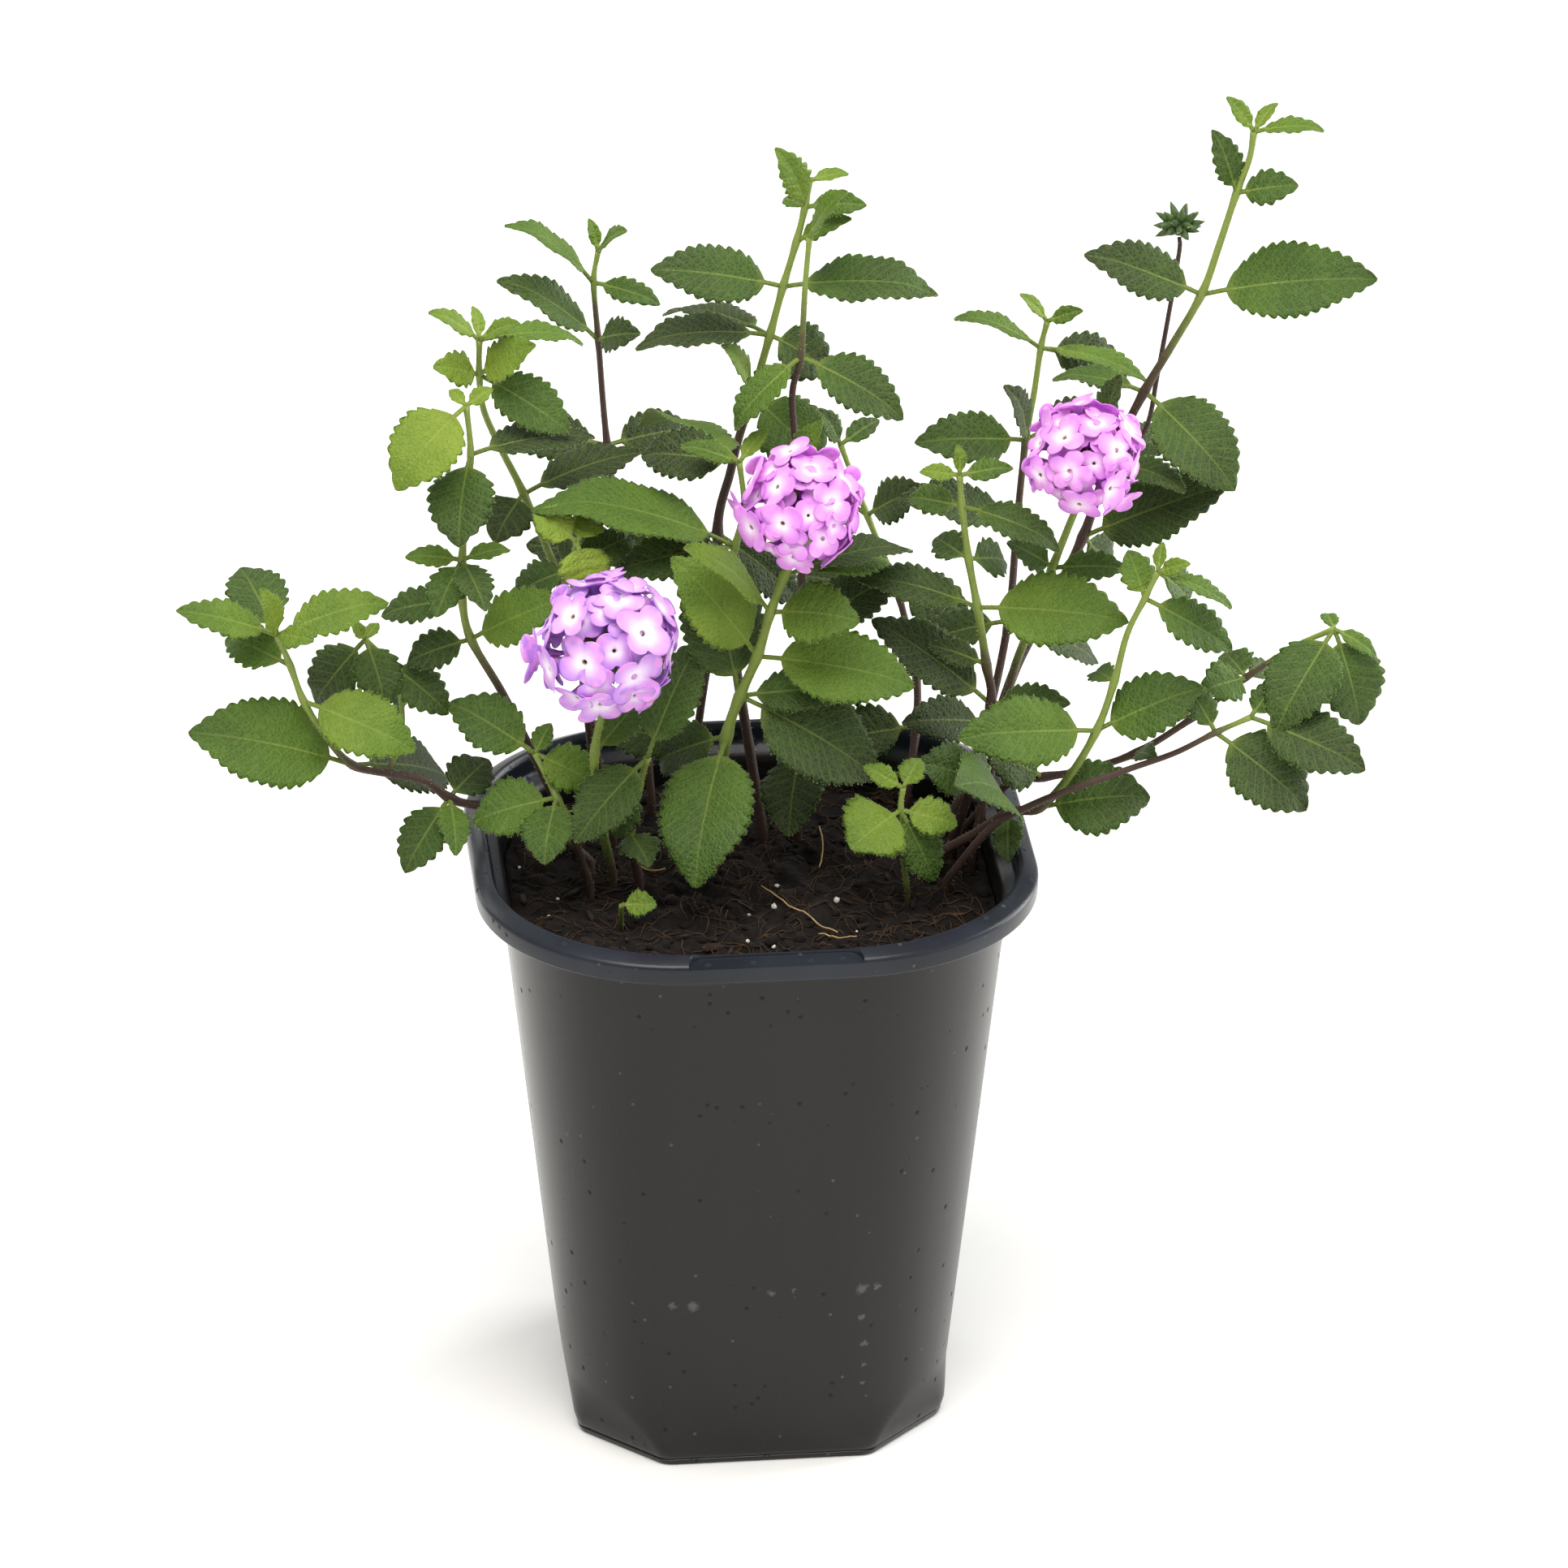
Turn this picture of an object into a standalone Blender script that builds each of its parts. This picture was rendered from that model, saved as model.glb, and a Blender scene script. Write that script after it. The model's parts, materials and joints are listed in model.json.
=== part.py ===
# A trailing lantana in bloom, rooted in a square nursery pot.
#
# The pot, the soil, each leafy shoot and each flower head are separate solids.
# Lengths are millimetres in the tables and metres in the meshes. +Z is up, the origin is
# the middle of the pot's underside, and the pot's labelled side faces -Y.
#
# The plant is drawn as it is seen: a point is (across, up, away), as a viewer stands in
# front of the pot and looks down on it. Across and up are measured square to the line of
# sight from the middle of the rim, and away is the depth behind the middle of the pot.

from math import acos, asin, cos, pi, radians, sin, sqrt
from random import Random

import bmesh
import bpy
from mathutils import Matrix, Vector
from mathutils.bvhtree import BVHTree

MM = 0.001

# The viewer whose sight the plant's points are given in
VIEW_DISTANCE = 2195.0
VIEW_TILT = radians(25.9)
VIEW_TURN = radians(5.5)
VIEW_ASIDE = 1.9

# Pot
POT_HEIGHT = 140.0
WALL = 1.5
RIM_HALF = 63.7
RIM_CORNER = 46.0
FOOT_CORNER = 31.5
FOOT_HALF = 42.7
FOOT_FLAT = 24.2
BODY_LOW_HALF = 43.6
BODY_TOP_HALF = 57.0
FLOOR_THICKNESS = 6.5
NOTCH_HEIGHT = 5.6
SHOULDER_HEIGHT = 131.6
SKIRT_LOW = 133.9
STACK_LOW = 132.4
RIM_PROFILE = [(60.4, 133.2), (60.5, 138.0), (62.1, 138.0), (62.2, SKIRT_LOW), (63.4, SKIRT_LOW),
               (RIM_HALF, 138.7), (63.1, 139.5), (59.8, POT_HEIGHT), (59.2, 139.6), (58.9, 134.8)]
CORNER_STEPS = 5
DRAIN_PLACE = 27.0
DRAIN_RADIUS = 3.6
DRAIN_SIDES = 12
LABEL_LENGTH = 39.0
LABEL_DEPTH = 4.2
LABEL_STEP = 2.0
LABEL_CORNER = 3.6

# Soil
SOIL_LEVEL = 128.0
CLEARANCE = 0.3
HOLE_DEPTH = 9.0
SOIL_RINGS = 5

# Leaves
PETIOLE_SHARE = 0.15
PETIOLE_HALF = 0.75
LEAF_THICK = 1.2
LEAF_GUARD = 0.8
GUARD_SPREAD = 1.05
STEM_GUARD = 0.4
LEAF_FOLD = 0.15
LEAF_ARCH = 0.07
LEAF_SLENDER = 0.50
LEAF_LEAN = 1.06
BASE_ROUND = 0.62
TIP_ROUND = 0.86
TOOTH_CUT = 0.13

# Stems
STEM_SIDES = 4
STEM_STEPS = 1
STEM_FOOT = 3.0

# Each shoot: its name, the shoot it branches from with the joint there, the half-thickness
# at its foot and at its tip, and its joints from foot to tip as (across, up, away).
# Each leaf: the joint it grows from, its tip as (across, up, away), and how wide it is seen.
SHOOTS = [
    {
        "name": "shoot_trailing_left",
        "radii": (1.3, 0.75),
        "joints": [(-38, -9, 4), (-47, 0.5, 5), (-57, 6, 6), (-65, 6.5, 5), (-70, 8, 4), (-76, 12, 2),
                   (-84, 13.5, 0), (-92, 15.5, -2), (-98, 22, -4), (-103, 30, -5), (-106, 38, -5),
                   (-109, 45, -6)],
        "leaves": [(7, -129, 24, -8, 20), (7, -70, 12.5, 14, 13), (9, -78, 18.5, -14, 15),
                   (4, -80, -9, -6, 11), (4, -68, -5, -8, 7), (4, -61, 17, 12, 11),
                   (10, -121, 45, 6, 10), (11, -132, 50.5, -8, 8), (11, -118, 61, 4, 13),
                   (11, -84, 53.5, -2, 10), (11, -112, 55, -12, 5), (11, -101, 44, -16, 6)],
    },
    {
        "name": "side_shoot_left",
        "parent": ("shoot_trailing_left", 6),
        "radii": (0.8, 0.6),
        "joints": [(-81, 21, 6), (-81, 31, 8), (-84, 39, 9), (-89, 44, 8)],
        "leaves": [(3, -84, 29, -2, 11), (3, -101, 29, 8, 12), (2, -70, 27, 4, 10), (2, -79, 28, 14, 8),
                   (3, -92, 48, 6, 3), (3, -86, 48, 8, 3)],
    },
    {
        "name": "shoot_left",
        "radii": (1.3, 0.7),
        "joints": [(-41, -6, 14), (-46, 8, 12), (-52, 20, 10), (-58, 32, 8), (-65, 44, 6), (-67, 53, 4),
                   (-67, 62, 2), (-66, 74, 4), (-65, 86, 4), (-66, 97, 4)],
        "leaves": [(9, -83, 79, -8, 16), (8, -68.5, 65, -10, 15), (8, -36.5, 90, 16, 8),
                   (9, -60, 101, 6, 4), (9, -70, 101, 8, 3),
                   (4, -44, 53, -2, 12), (4, -80, 39, 14, 9), (6, -73, 49, -8, 9), (6, -62, 51, -8, 8),
                   (5, -86, 50, 8, 8), (6, -80, 63, 2, 5), (6, -56, 65, 6, 4)],
    },
    {
        "name": "shoot_left_tall",
        "radii": (1.2, 0.7),
        "joints": [(-33, -5, 20), (-36, 15, 22), (-40, 38, 24), (-46, 60, 25), (-53, 77, 24),
                   (-58, 87, 22), (-62, 96, 20), (-63, 104, 18), (-63, 112, 16)],
        "leaves": [(7, -42, 91, 10, 12), (7, -50.5, 110.5, 6, 9), (8, -39, 112.5, 22, 5),
                   (4, -26, 86.5, 32, 9), (4, -60, 66.5, 14, 12), (7, -73, 106, 10, 8),
                   (8, -74, 118.5, 12, 4), (8, -64, 120, 22, 3), (8, -54, 116, 10, 4),
                   (3, -34, 66, 34, 12)],
    },
    {
        "name": "shoot_back_left",
        "radii": (1.1, 0.6),
        "joints": [(-24, 4, 34), (-26, 30, 42), (-30, 60, 50), (-34, 88, 55), (-36, 112, 58),
                   (-37, 125, 59), (-36, 132, 60)],
        "leaves": [(4, -58, 126, 52, 8), (4, -27, 113.5, 46, 8), (5, -56, 139, 54, 4), (5, -22, 120, 54, 6),
                   (6, -38, 139.5, 62, 3), (6, -30, 137, 55, 3), (2, -52, 66, 46, 13), (2, -10, 68, 60, 12),
                   (3, -58, 91, 60, 11), (3, -14, 92, 66, 11)],
    },
    {
        "name": "stem_front_head",
        "radii": (1.2, 0.85),
        "joints": [(-33, -11, -2), (-36, 5, -8), (-37, 18, -12), (-35, 28, -15), (-34, 33.5, -17)],
        "leaves": [(2, -26, 30, 2, 9)],
    },
    {
        "name": "shoot_low_left",
        "radii": (1.0, 0.65),
        "joints": [(-38, -8, -8), (-43, 2, -9), (-45.5, 8, -9), (-48, 13, -6), (-50.5, 18, -4)],
        "leaves": [(2, -65, 3, -8, 13), (2, -49, -7, -20, 12), (4, -70, 30, 2, 13), (4, -36.5, 11, -14, 11),
                   (4, -47, 25, -2, 5)],
    },
    {
        "name": "shoot_front_left",
        "radii": (1.3, 0.8),
        "joints": [(-27, -12, -5), (-29, 0, -7), (-27, 10, -10), (-25, 17, -12)],
        "leaves": [(3, -42, -2, -22, 13), (3, -13, 44, -2, 13), (1, -25, -7, -20, 9), (2, -33, -1, -14, 8)],
    },
    {
        "name": "shoot_middle",
        "radii": (1.6, 0.9),
        "joints": [(-10, -9, 4), (-9, 8, 0), (-7, 22, -3), (-4, 31, -4), (0, 40, -6), (3, 50, -8),
                   (6, 58, -9), (8, 63, -10)],
        "leaves": [(2, -15, -12, -30, 21), (4, 36, 34, -10, 17), (3, 28, 13, -8, 20), (4, -19, 62, -8, 16),
                   (3, -14, 64, 14, 19), (3, 22, 32, 2, 10), (5, -16, 65.5, -18, 6), (5, 23, 49, -18, 14),
                   (2, -24, 16, 10, 12), (6, 36, 65, 6, 7), (6, 31, 63, 14, 6)],
    },
    {
        "name": "shoot_middle_tall",
        "radii": (1.4, 0.75),
        "joints": [(1, -1, 22), (-2, 20, 25), (-6, 45, 27), (-9, 68, 28), (-6, 82, 28), (-4, 90, 27),
                   (-1, 99, 26), (1, 106, 25), (3, 113, 24), (6, 124, 23), (9, 134, 22), (11, 142, 22),
                   (12, 148, 22)],
        "leaves": [(6, 15, 83, 14, 16), (8, -27.5, 111, 18, 8), (8, -22, 119, 32, 5), (8, 17, 105, 10, 13),
                   (9, -24, 128, 18, 13), (9, 41, 123, 18, 11), (11, 5.5, 155.5, 20, 7),
                   (11, 25, 143, 18, 6), (11, 6, 144.5, 28, 4), (10, 21, 140, 14, 5), (12, 21, 150, 24, 3),
                   (6, -7, 110.5, 16, 4), (3, -33, 62, 30, 13), (3, 10, 52, 34, 11)],
    },
    {
        "name": "shoot_middle_second",
        "radii": (1.2, 0.65),
        "joints": [(9, -3, 18), (10, 20, 15), (10, 45, 13), (10, 75, 14), (8, 98, 14), (10, 108, 14),
                   (11, 124, 14), (12, 135, 15)],
        "leaves": [(5, 34, 95, 8, 12), (5, -6, 92, 8, 8), (7, 20, 146, 8, 4), (2, 33, 60, 22, 12),
                   (1, 7, -1, -2, 14), (3, 13.5, 92.5, 8, 6)],
    },
    {
        "name": "shoot_centre",
        "radii": (1.2, 0.65),
        "joints": [(-16, -6, 10), (-14, 20, 12), (-10, 45, 13), (-5, 65, 8), (-3, 74, 7), (-4, 84, 7)],
        "leaves": [(3, -50, 76.5, 2, 12), (5, -17, 88, 4, 5), (5, -27, 86, 16, 12), (1, -35, 24, 16, 12),
                   (5, 2, 92, 12, 4), (3, -33, 60, 4, 11), (5, -25, 95, 26, 4)],
    },
    {
        "name": "shoot_light_left",
        "radii": (1.0, 0.6),
        "joints": [(-37, 0, 22), (-38, 20, 14), (-41, 45, 7), (-42, 60, 1), (-41, 66, -2)],
        "leaves": [(4, -50.5, 73.5, -2, 9), (4, -36.5, 73, 2, 8), (4, -38, 55, -10, 12),
                   (3, -28, 68, 12, 10), (3, -56, 54, 6, 9)],
    },
    {
        "name": "shoot_right",
        "radii": (1.4, 0.7),
        "joints": [(44, -5, 14), (49, 12, 12), (53, 29, 10), (52, 38, 8), (50, 51, 6), (48, 62, 5),
                   (46.5, 74, 5), (46, 81, 5)],
        "leaves": [(4, 84, 48, -4, 17), (4, 23, 58.5, 2, 9), (6, 69, 65, -2, 8), (6, 34, 76, 10, 7),
                   (7, 37, 82, 4, 4), (7, 58, 83, 3, 5), (7, 46, 88, 6, 3), (2, 26, 48.5, 14, 13),
                   (5, 40, 67, 14, 8), (3, 39, 43, 22, 6), (5, 57, 62, 16, 9), (2, 71, 30, 4, 8),
                   (1, 37, 16, 0, 12)],
    },
    {
        "name": "shoot_back_right",
        "radii": (1.2, 0.65),
        "joints": [(45, 4, 32), (52, 25, 40), (57, 48, 46), (59, 70, 50), (61, 89, 52), (63, 100, 53),
                   (64.5, 110, 54), (66, 116, 54)],
        "leaves": [(4, 36, 88.5, 44, 12), (6, 85, 104, 60, 12), (6, 89, 103, 44, 5), (6, 45.5, 118, 52, 4),
                   (7, 60, 122.5, 54, 3), (7, 74, 118.5, 50, 4), (4, 80, 97, 66, 10), (1, 33.5, 25, 26, 11),
                   (2, 78, 38, 54, 8), (3, 32.5, 76.5, 40, 10), (2, 34, 42, 54, 10),
                   (4, 57.5, 101.5, 42, 5)],
    },
    {
        "name": "stem_right_head",
        "radii": (1.3, 0.85),
        "joints": [(49, -5, 9), (53, 15, 15), (58, 36, 17), (63, 49, 16), (67, 60, 13), (71, 70, 8),
                   (73, 75, 4)],
        "leaves": [(4, 84, 60, 8, 7), (4, 57, 66, 4, 7), (1, 46, 10, 0, 10)],
    },
    {
        "name": "shoot_right_tall",
        "radii": (1.5, 0.75),
        "joints": [(44, 0, 27), (53, 22, 31), (59, 38, 31), (67, 53, 29), (74, 67, 26), (80, 84, 25),
                   (88, 100, 24), (94, 110, 23), (101, 122, 22), (105, 133, 21), (109, 145, 20),
                   (112, 153, 20), (113, 159, 20)],
        "leaves": [(4, 107, 78, 18, 16), (6, 109, 78, 10, 17), (8, 75, 131, 18, 12), (8, 141, 126, 14, 17),
                   (4, 80, 60, 40, 9), (10, 104, 159, 18, 7), (10, 123, 147, 16, 8), (12, 129, 160, 18, 4),
                   (12, 107, 167, 20, 4), (12, 118, 166, 24, 3), (6, 67, 104, 30, 5), (5, 98, 90, 40, 9),
                   (5, 97, 78, 10, 7), (5, 82, 103, 12, 6)],
    },
    {
        "name": "stem_bud",
        "parent": ("shoot_right_tall", 5),
        "radii": (0.7, 0.6),
        "joints": [(88, 91, 31), (91, 104, 33), (94, 120, 33), (96, 132, 33)],
        "leaves": [],
    },
    {
        "name": "shoot_front_right",
        "radii": (1.5, 0.7),
        "joints": [(38, -8, 4), (49, -0.5, 2), (57, 4.5, 0), (64, 5.5, -1), (71, 13, -3), (77, 23, -5),
                   (81, 34, -6), (84, 45, -7), (88, 53, -8), (91, 59, -8)],
        "leaves": [(5, 46, 21, -14, 16), (3, 89, 9, -10, 17), (5, 101, 33, -8, 14), (2, 46, 12, -18, 13),
                   (2, 57, -11.5, -34, 10), (8, 108, 41, -8, 10), (8, 84, 64, -4, 8), (9, 99, 51, 6, 8),
                   (9, 108, 51, -14, 4), (9, 98, 61, -8, 4), (9, 92, 66, -8, 3), (6, 76, 37, 6, 6)],
    },
    {
        "name": "shoot_trailing_right",
        "radii": (1.3, 0.75),
        "joints": [(47, -2, 21), (57, 11, 16), (65, 12.5, 14), (74, 14, 12), (86, 18, 10), (99, 26, 8),
                   (111, 35, 7), (122, 42, 5), (131, 46, 2)],
        "leaves": [(8, 118, 23, -14, 16), (8, 137, 24, -12, 15), (8, 141, 40, -2, 4), (8, 129, 50, 6, 4),
                   (6, 101, 32, -2, 10), (6, 106, 41, 10, 9), (6, 117, 38, 14, 6), (5, 92, 28, 14, 6),
                   (4, 90, 17, -2, 5), (2, 52, 18, 22, 12)],
    },
    {
        "name": "shoot_low_right",
        "radii": (1.2, 0.7),
        "joints": [(43, -12, -6), (53, 1, -7), (62, 6, -7), (72, 10, -8), (85, 14.5, -8), (95, 18, -8),
                   (104, 22.5, -8), (112, 26, -9)],
        "leaves": [(6, 125, 5, -16, 17), (6, 97, 34, -2, 7), (7, 138, 14, -18, 14), (7, 118, 34, -6, 6)],
    },
    {
        "name": "shoot_small_right",
        "radii": (0.8, 0.6),
        "joints": [(34, -16, -12), (33, -6, -13), (32.5, 5, -14), (33, 10, -13)],
        "leaves": [(2, 21, -3.5, -24, 17), (2, 45.5, 1.5, -14, 9), (2, 40, -11.5, -24, 10),
                   (3, 24, 15, -12, 5), (3, 37, 17, -8, 6)],
    },
    {
        "name": "shoot_back_middle",
        "radii": (1.2, 0.65),
        "joints": [(34, 6, 40), (36, 24, 48), (36, 36, 54), (32, 54, 64), (25, 72, 72), (19, 88, 76)],
        "leaves": [(2, 10, 34, 64, 14), (3, 48, 50, 62, 13), (3, 8, 58, 80, 12), (4, 38, 78.5, 60, 10),
                   (4, 4, 84, 86, 10), (5, 28, 94, 82, 5), (5, 14, 96, 70, 5), (1, 14, 20, 52, 13)],
    },
    {
        "name": "seedling",
        "radii": (0.6, 0.5),
        "joints": [(-31, -20, -22), (-31, -16.5, -23)],
        "leaves": [(1, -23, -16, -25, 6)],
    },
]

# Each flower head: the shoot that carries it, its middle, its core, the half-width over its
# florets, their count and half-width, and which way it faces as (across, up, away).
HEADS = [
    {"name": "flower_head_front", "stem": "stem_front_head", "middle": (-34, 42.5, -21), "core": 7.0,
     "reach": 17.7, "florets": 16, "floret": 6.7, "seed": 3, "faces": (0, 0.7, -0.7)},
    {"name": "flower_head_middle", "stem": "shoot_middle", "middle": (9.5, 73.0, -14), "core": 6.0,
     "reach": 15.0, "florets": 16, "floret": 5.8, "seed": 8, "faces": (0.1, 0.7, -0.7)},
    {"name": "flower_head_right", "stem": "stem_right_head", "middle": (74.2, 84.5, 0), "core": 5.6,
     "reach": 14.2, "florets": 16, "floret": 5.5, "seed": 5, "faces": (0.1, 0.7, -0.7)},
]
BUD = {"name": "bud_head", "stem": "stem_bud", "middle": (96, 137.5, 33), "core": 2.4, "reach": 6.5,
       "bracts": 9}

GOLDEN_TURN = pi * (3 - sqrt(5))
FLORET_LOBES = 4
FLORET_DIP = 0.12
FLORET_LOOSE = 0.12
HEAD_TILT = radians(112)
BRACT_TILT = radians(80)

# The moves tried in turn to bring a leaf clear of its neighbours: the tip goes this much
# further away along the line of sight, the blade rolls, and last it stays smaller.
SHIFTS = (0, 4, -4, 8, -8, 13, -13, 18, -18)
ROLLS = (0, 20, -20, 40, -40)
SIZES = (1.0, 0.85, 0.7)


# Sight and space

def seen(across, up, away):
    """The point of the part that a viewer in front of the pot sees there, at that depth."""
    eye = Vector((0, -VIEW_DISTANCE * cos(VIEW_TILT), POT_HEIGHT + VIEW_DISTANCE * sin(VIEW_TILT)))
    plane = Vector((across + VIEW_ASIDE, up * sin(VIEW_TILT), POT_HEIGHT + up * cos(VIEW_TILT)))
    share = (away - eye.y) / (plane.y - eye.y)
    return Matrix.Rotation(-VIEW_TURN, 3, "Z") @ (eye + (plane - eye) * share)


def smooth_curve(points, steps):
    """Points along a smooth curve through the given ones, with this many steps between each two."""
    ends = [points[0] * 2 - points[1]] + points + [points[-1] * 2 - points[-2]]
    curve = []
    for a, b, c, d in zip(ends, ends[1:], ends[2:], ends[3:]):
        for step in range(steps):
            t = step / steps
            curve.append(0.5 * (2 * b + (c - a) * t + (2 * a - 5 * b + 4 * c - d) * t * t
                                + (3 * b - 3 * c + d - a) * t ** 3))
    return curve + [points[-1]]


def tube(points, radii, sides):
    """A closed tube round the points, as (vertices, faces)."""
    vertices = []
    side = Vector((1, 0, 0))
    for index, point in enumerate(points):
        before = points[max(index - 1, 0)]
        after = points[min(index + 1, len(points) - 1)]
        along = (after - before).normalized()
        side = (side - along * side.dot(along)).normalized()
        other = along.cross(side)
        for corner in range(sides):
            turn = 2 * pi * corner / sides
            vertices.append(point + (side * cos(turn) + other * sin(turn)) * radii[index])
    faces = []
    for ring in range(len(points) - 1):
        for corner in range(sides):
            a = ring * sides + corner
            b = ring * sides + (corner + 1) % sides
            faces.append((a, b, b + sides, a + sides))
    faces.append(tuple(reversed(range(sides))))
    faces.append(tuple(range(len(vertices) - sides, len(vertices))))
    return vertices, faces


# Leaves

def half_width(share, width):
    """Half the leaf's width at this share of its length, without teeth."""
    if share <= PETIOLE_SHARE:
        return PETIOLE_HALF
    s = (share - PETIOLE_SHARE) / (1 - PETIOLE_SHARE)
    widest = BASE_ROUND / (BASE_ROUND + TIP_ROUND)
    full = widest ** BASE_ROUND * (1 - widest) ** TIP_ROUND
    blade = s ** BASE_ROUND * max(1 - s, 0) ** TIP_ROUND / full
    return max(width / 2 * blade, PETIOLE_HALF * (1 - s))


def leaf_between(shoot, foot, tip, seen_width, roll):
    """A leaf from its foot to its tip, turned about its rib until it is seen as wide as that."""
    length = (tip - foot).length
    forward = (tip - foot).normalized()
    sight = Matrix.Rotation(-VIEW_TURN, 3, "Z") @ Vector((0, -cos(VIEW_TILT), sin(VIEW_TILT)))
    edgewise = sight.cross(forward).normalized()
    if edgewise.z < 0:
        edgewise = -edgewise
    facing = edgewise.cross(forward).normalized()
    if facing.dot(sight) < 0:
        facing = -facing
    width = max(seen_width * LEAF_LEAN, LEAF_SLENDER * (1 - PETIOLE_SHARE) * length)
    lean = acos(min(seen_width / width, 1)) + radians(roll)
    upper = facing * cos(lean) + edgewise * sin(lean)
    return {"foot": foot, "width": width, "shoot": shoot,
            "frame": (length, forward, forward.cross(upper), upper)}


def leaf_point(leaf, share, across):
    """A point of the leaf's middle surface, at this share of its length and distance off its rib."""
    length, forward, sideways, upper = leaf["frame"]
    rise = 4 * LEAF_ARCH * length * share * (1 - share) + LEAF_FOLD * abs(across)
    return leaf["foot"] + forward * length * share + sideways * across + upper * rise


def teeth_of(length):
    """How many teeth each edge of a leaf of this length has."""
    if length < 13:
        return 0
    return 2 if length < 20 else 3 if length < 29 else 4


def leaf_solid(leaf, thick, spread=1.0):
    """The leaf as a closed solid with cut edges: thick along its rib and sharp at its teeth."""
    length = leaf["frame"][0]
    upper = leaf["frame"][3]
    teeth = teeth_of(length)
    shares = [0.0, PETIOLE_SHARE]
    cuts = [1.0, 1.0]
    blade = 1 - PETIOLE_SHARE
    if teeth == 0:
        shares += [PETIOLE_SHARE + 0.22 * blade, PETIOLE_SHARE + 0.6 * blade]
        cuts += [1.0, 1.0]
    for tooth in range(teeth):
        shares += [PETIOLE_SHARE + (tooth + 0.55) * blade / (teeth + 0.35),
                   PETIOLE_SHARE + (tooth + 0.85) * blade / (teeth + 0.35)]
        cuts += [1.0, 1 - TOOTH_CUT]
    ribs = [0.0, PETIOLE_SHARE, 0.6] if teeth < 4 else [0.0, PETIOLE_SHARE, 0.45, 0.75]
    vertices = []
    edges = []
    for sign in (1, -1):
        row = []
        for share, cut in zip(shares, cuts):
            row.append(len(vertices))
            vertices.append(leaf_point(leaf, share, sign * spread * cut * half_width(share, leaf["width"])))
        edges.append(row)
    rib_rows = []
    for sign in (1, -1):
        row = []
        for share in ribs:
            row.append(len(vertices))
            vertices.append(leaf_point(leaf, share, 0) + upper * sign * thick / 2)
        rib_rows.append(row)
    tip = len(vertices)
    vertices.append(leaf_point(leaf, 1, 0))
    faces = []
    for edge, right in zip(edges, (True, False)):
        for rib, top in zip(rib_rows, (True, False)):
            for triangle in zip_rows(edge + [tip], shares + [1.0], rib + [tip], ribs + [1.0]):
                faces.append(triangle if right == top else triangle[::-1])
    faces.append((edges[0][0], rib_rows[0][0], edges[1][0], rib_rows[1][0]))
    return vertices, faces


def zip_rows(row, places, other, other_places):
    """Triangles between two rows of points that end in the same one."""
    triangles = []
    i = j = 0
    while row[i] != row[-1] or other[j] != other[-1]:
        next_place = places[i + 1] if i + 1 < len(row) else 9
        other_next = other_places[j + 1] if j + 1 < len(other) else 9
        if next_place <= other_next:
            if row[i + 1] != other[j]:
                triangles.append((row[i], row[i + 1], other[j]))
            i += 1
        else:
            if row[i] != other[j + 1]:
                triangles.append((row[i], other[j + 1], other[j]))
            j += 1
    return triangles


# Growing the plant

def stem_tube(shoot):
    """The shoot's stem as (points, radii)."""
    points = smooth_curve(shoot["points"], STEM_STEPS)
    low, high = shoot["radii"]
    last = len(points) - 1
    radii = [low + (high - low) * index / last for index in range(last + 1)]
    if "parent" not in shoot:
        foot = Vector((points[0].x, points[0].y, SOIL_LEVEL - HOLE_DEPTH + CLEARANCE))
        points = [foot] + points
        radii = [low] + radii
    return points, radii


def box_of(vertices):
    """The lowest and the highest corner of the box round these points."""
    low = Vector([min(v[axis] for v in vertices) for axis in range(3)])
    high = Vector([max(v[axis] for v in vertices) for axis in range(3)])
    return low, high


def guard_of(solid, owner):
    """What a leaf has to stay clear of: a solid as a search tree, with its box and its owner."""
    vertices, faces = solid
    return {"tree": BVHTree.FromPolygons(vertices, faces), "box": box_of(vertices), "owner": owner}


def touches(guard, others):
    """Whether the guard's surface cuts one of the others."""
    low, high = guard["box"]
    for other in others:
        other_low, other_high = other["box"]
        apart = any(low[a] > other_high[a] or other_low[a] > high[a] for a in range(3))
        if not apart and guard["tree"].overlap(other["tree"]):
            return True
    return False


def blade_only(leaf):
    """The leaf's blade without its petiole, which may meet its neighbours at the joint."""
    vertices, faces = leaf_solid(leaf, LEAF_THICK + LEAF_GUARD, GUARD_SPREAD)
    length, forward = leaf["frame"][0], leaf["frame"][1]
    outer = [f for f in faces
             if min((vertices[i] - leaf["foot"]).dot(forward) for i in f) > 0.9 * PETIOLE_SHARE * length]
    return vertices, outer


def place_leaf(shoot, row, others, siblings):
    """The first of the leaf's positions that is clear of all that is there already."""
    joint, across, up, away, width = row
    foot = shoot["points"][joint]
    for size in SIZES:
        for roll in ROLLS:
            for shift in SHIFTS:
                tip = foot + (seen(across, up, away + shift) - foot) * size
                leaf = leaf_between(shoot["name"], foot, tip, width * size, roll)
                whole = guard_of(leaf_solid(leaf, LEAF_THICK + LEAF_GUARD, GUARD_SPREAD), shoot["plant"])
                if touches(whole, others):
                    continue
                blade = guard_of(blade_only(leaf), shoot["plant"])
                if not touches(blade, siblings):
                    return leaf, whole, blade
    return None


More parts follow.
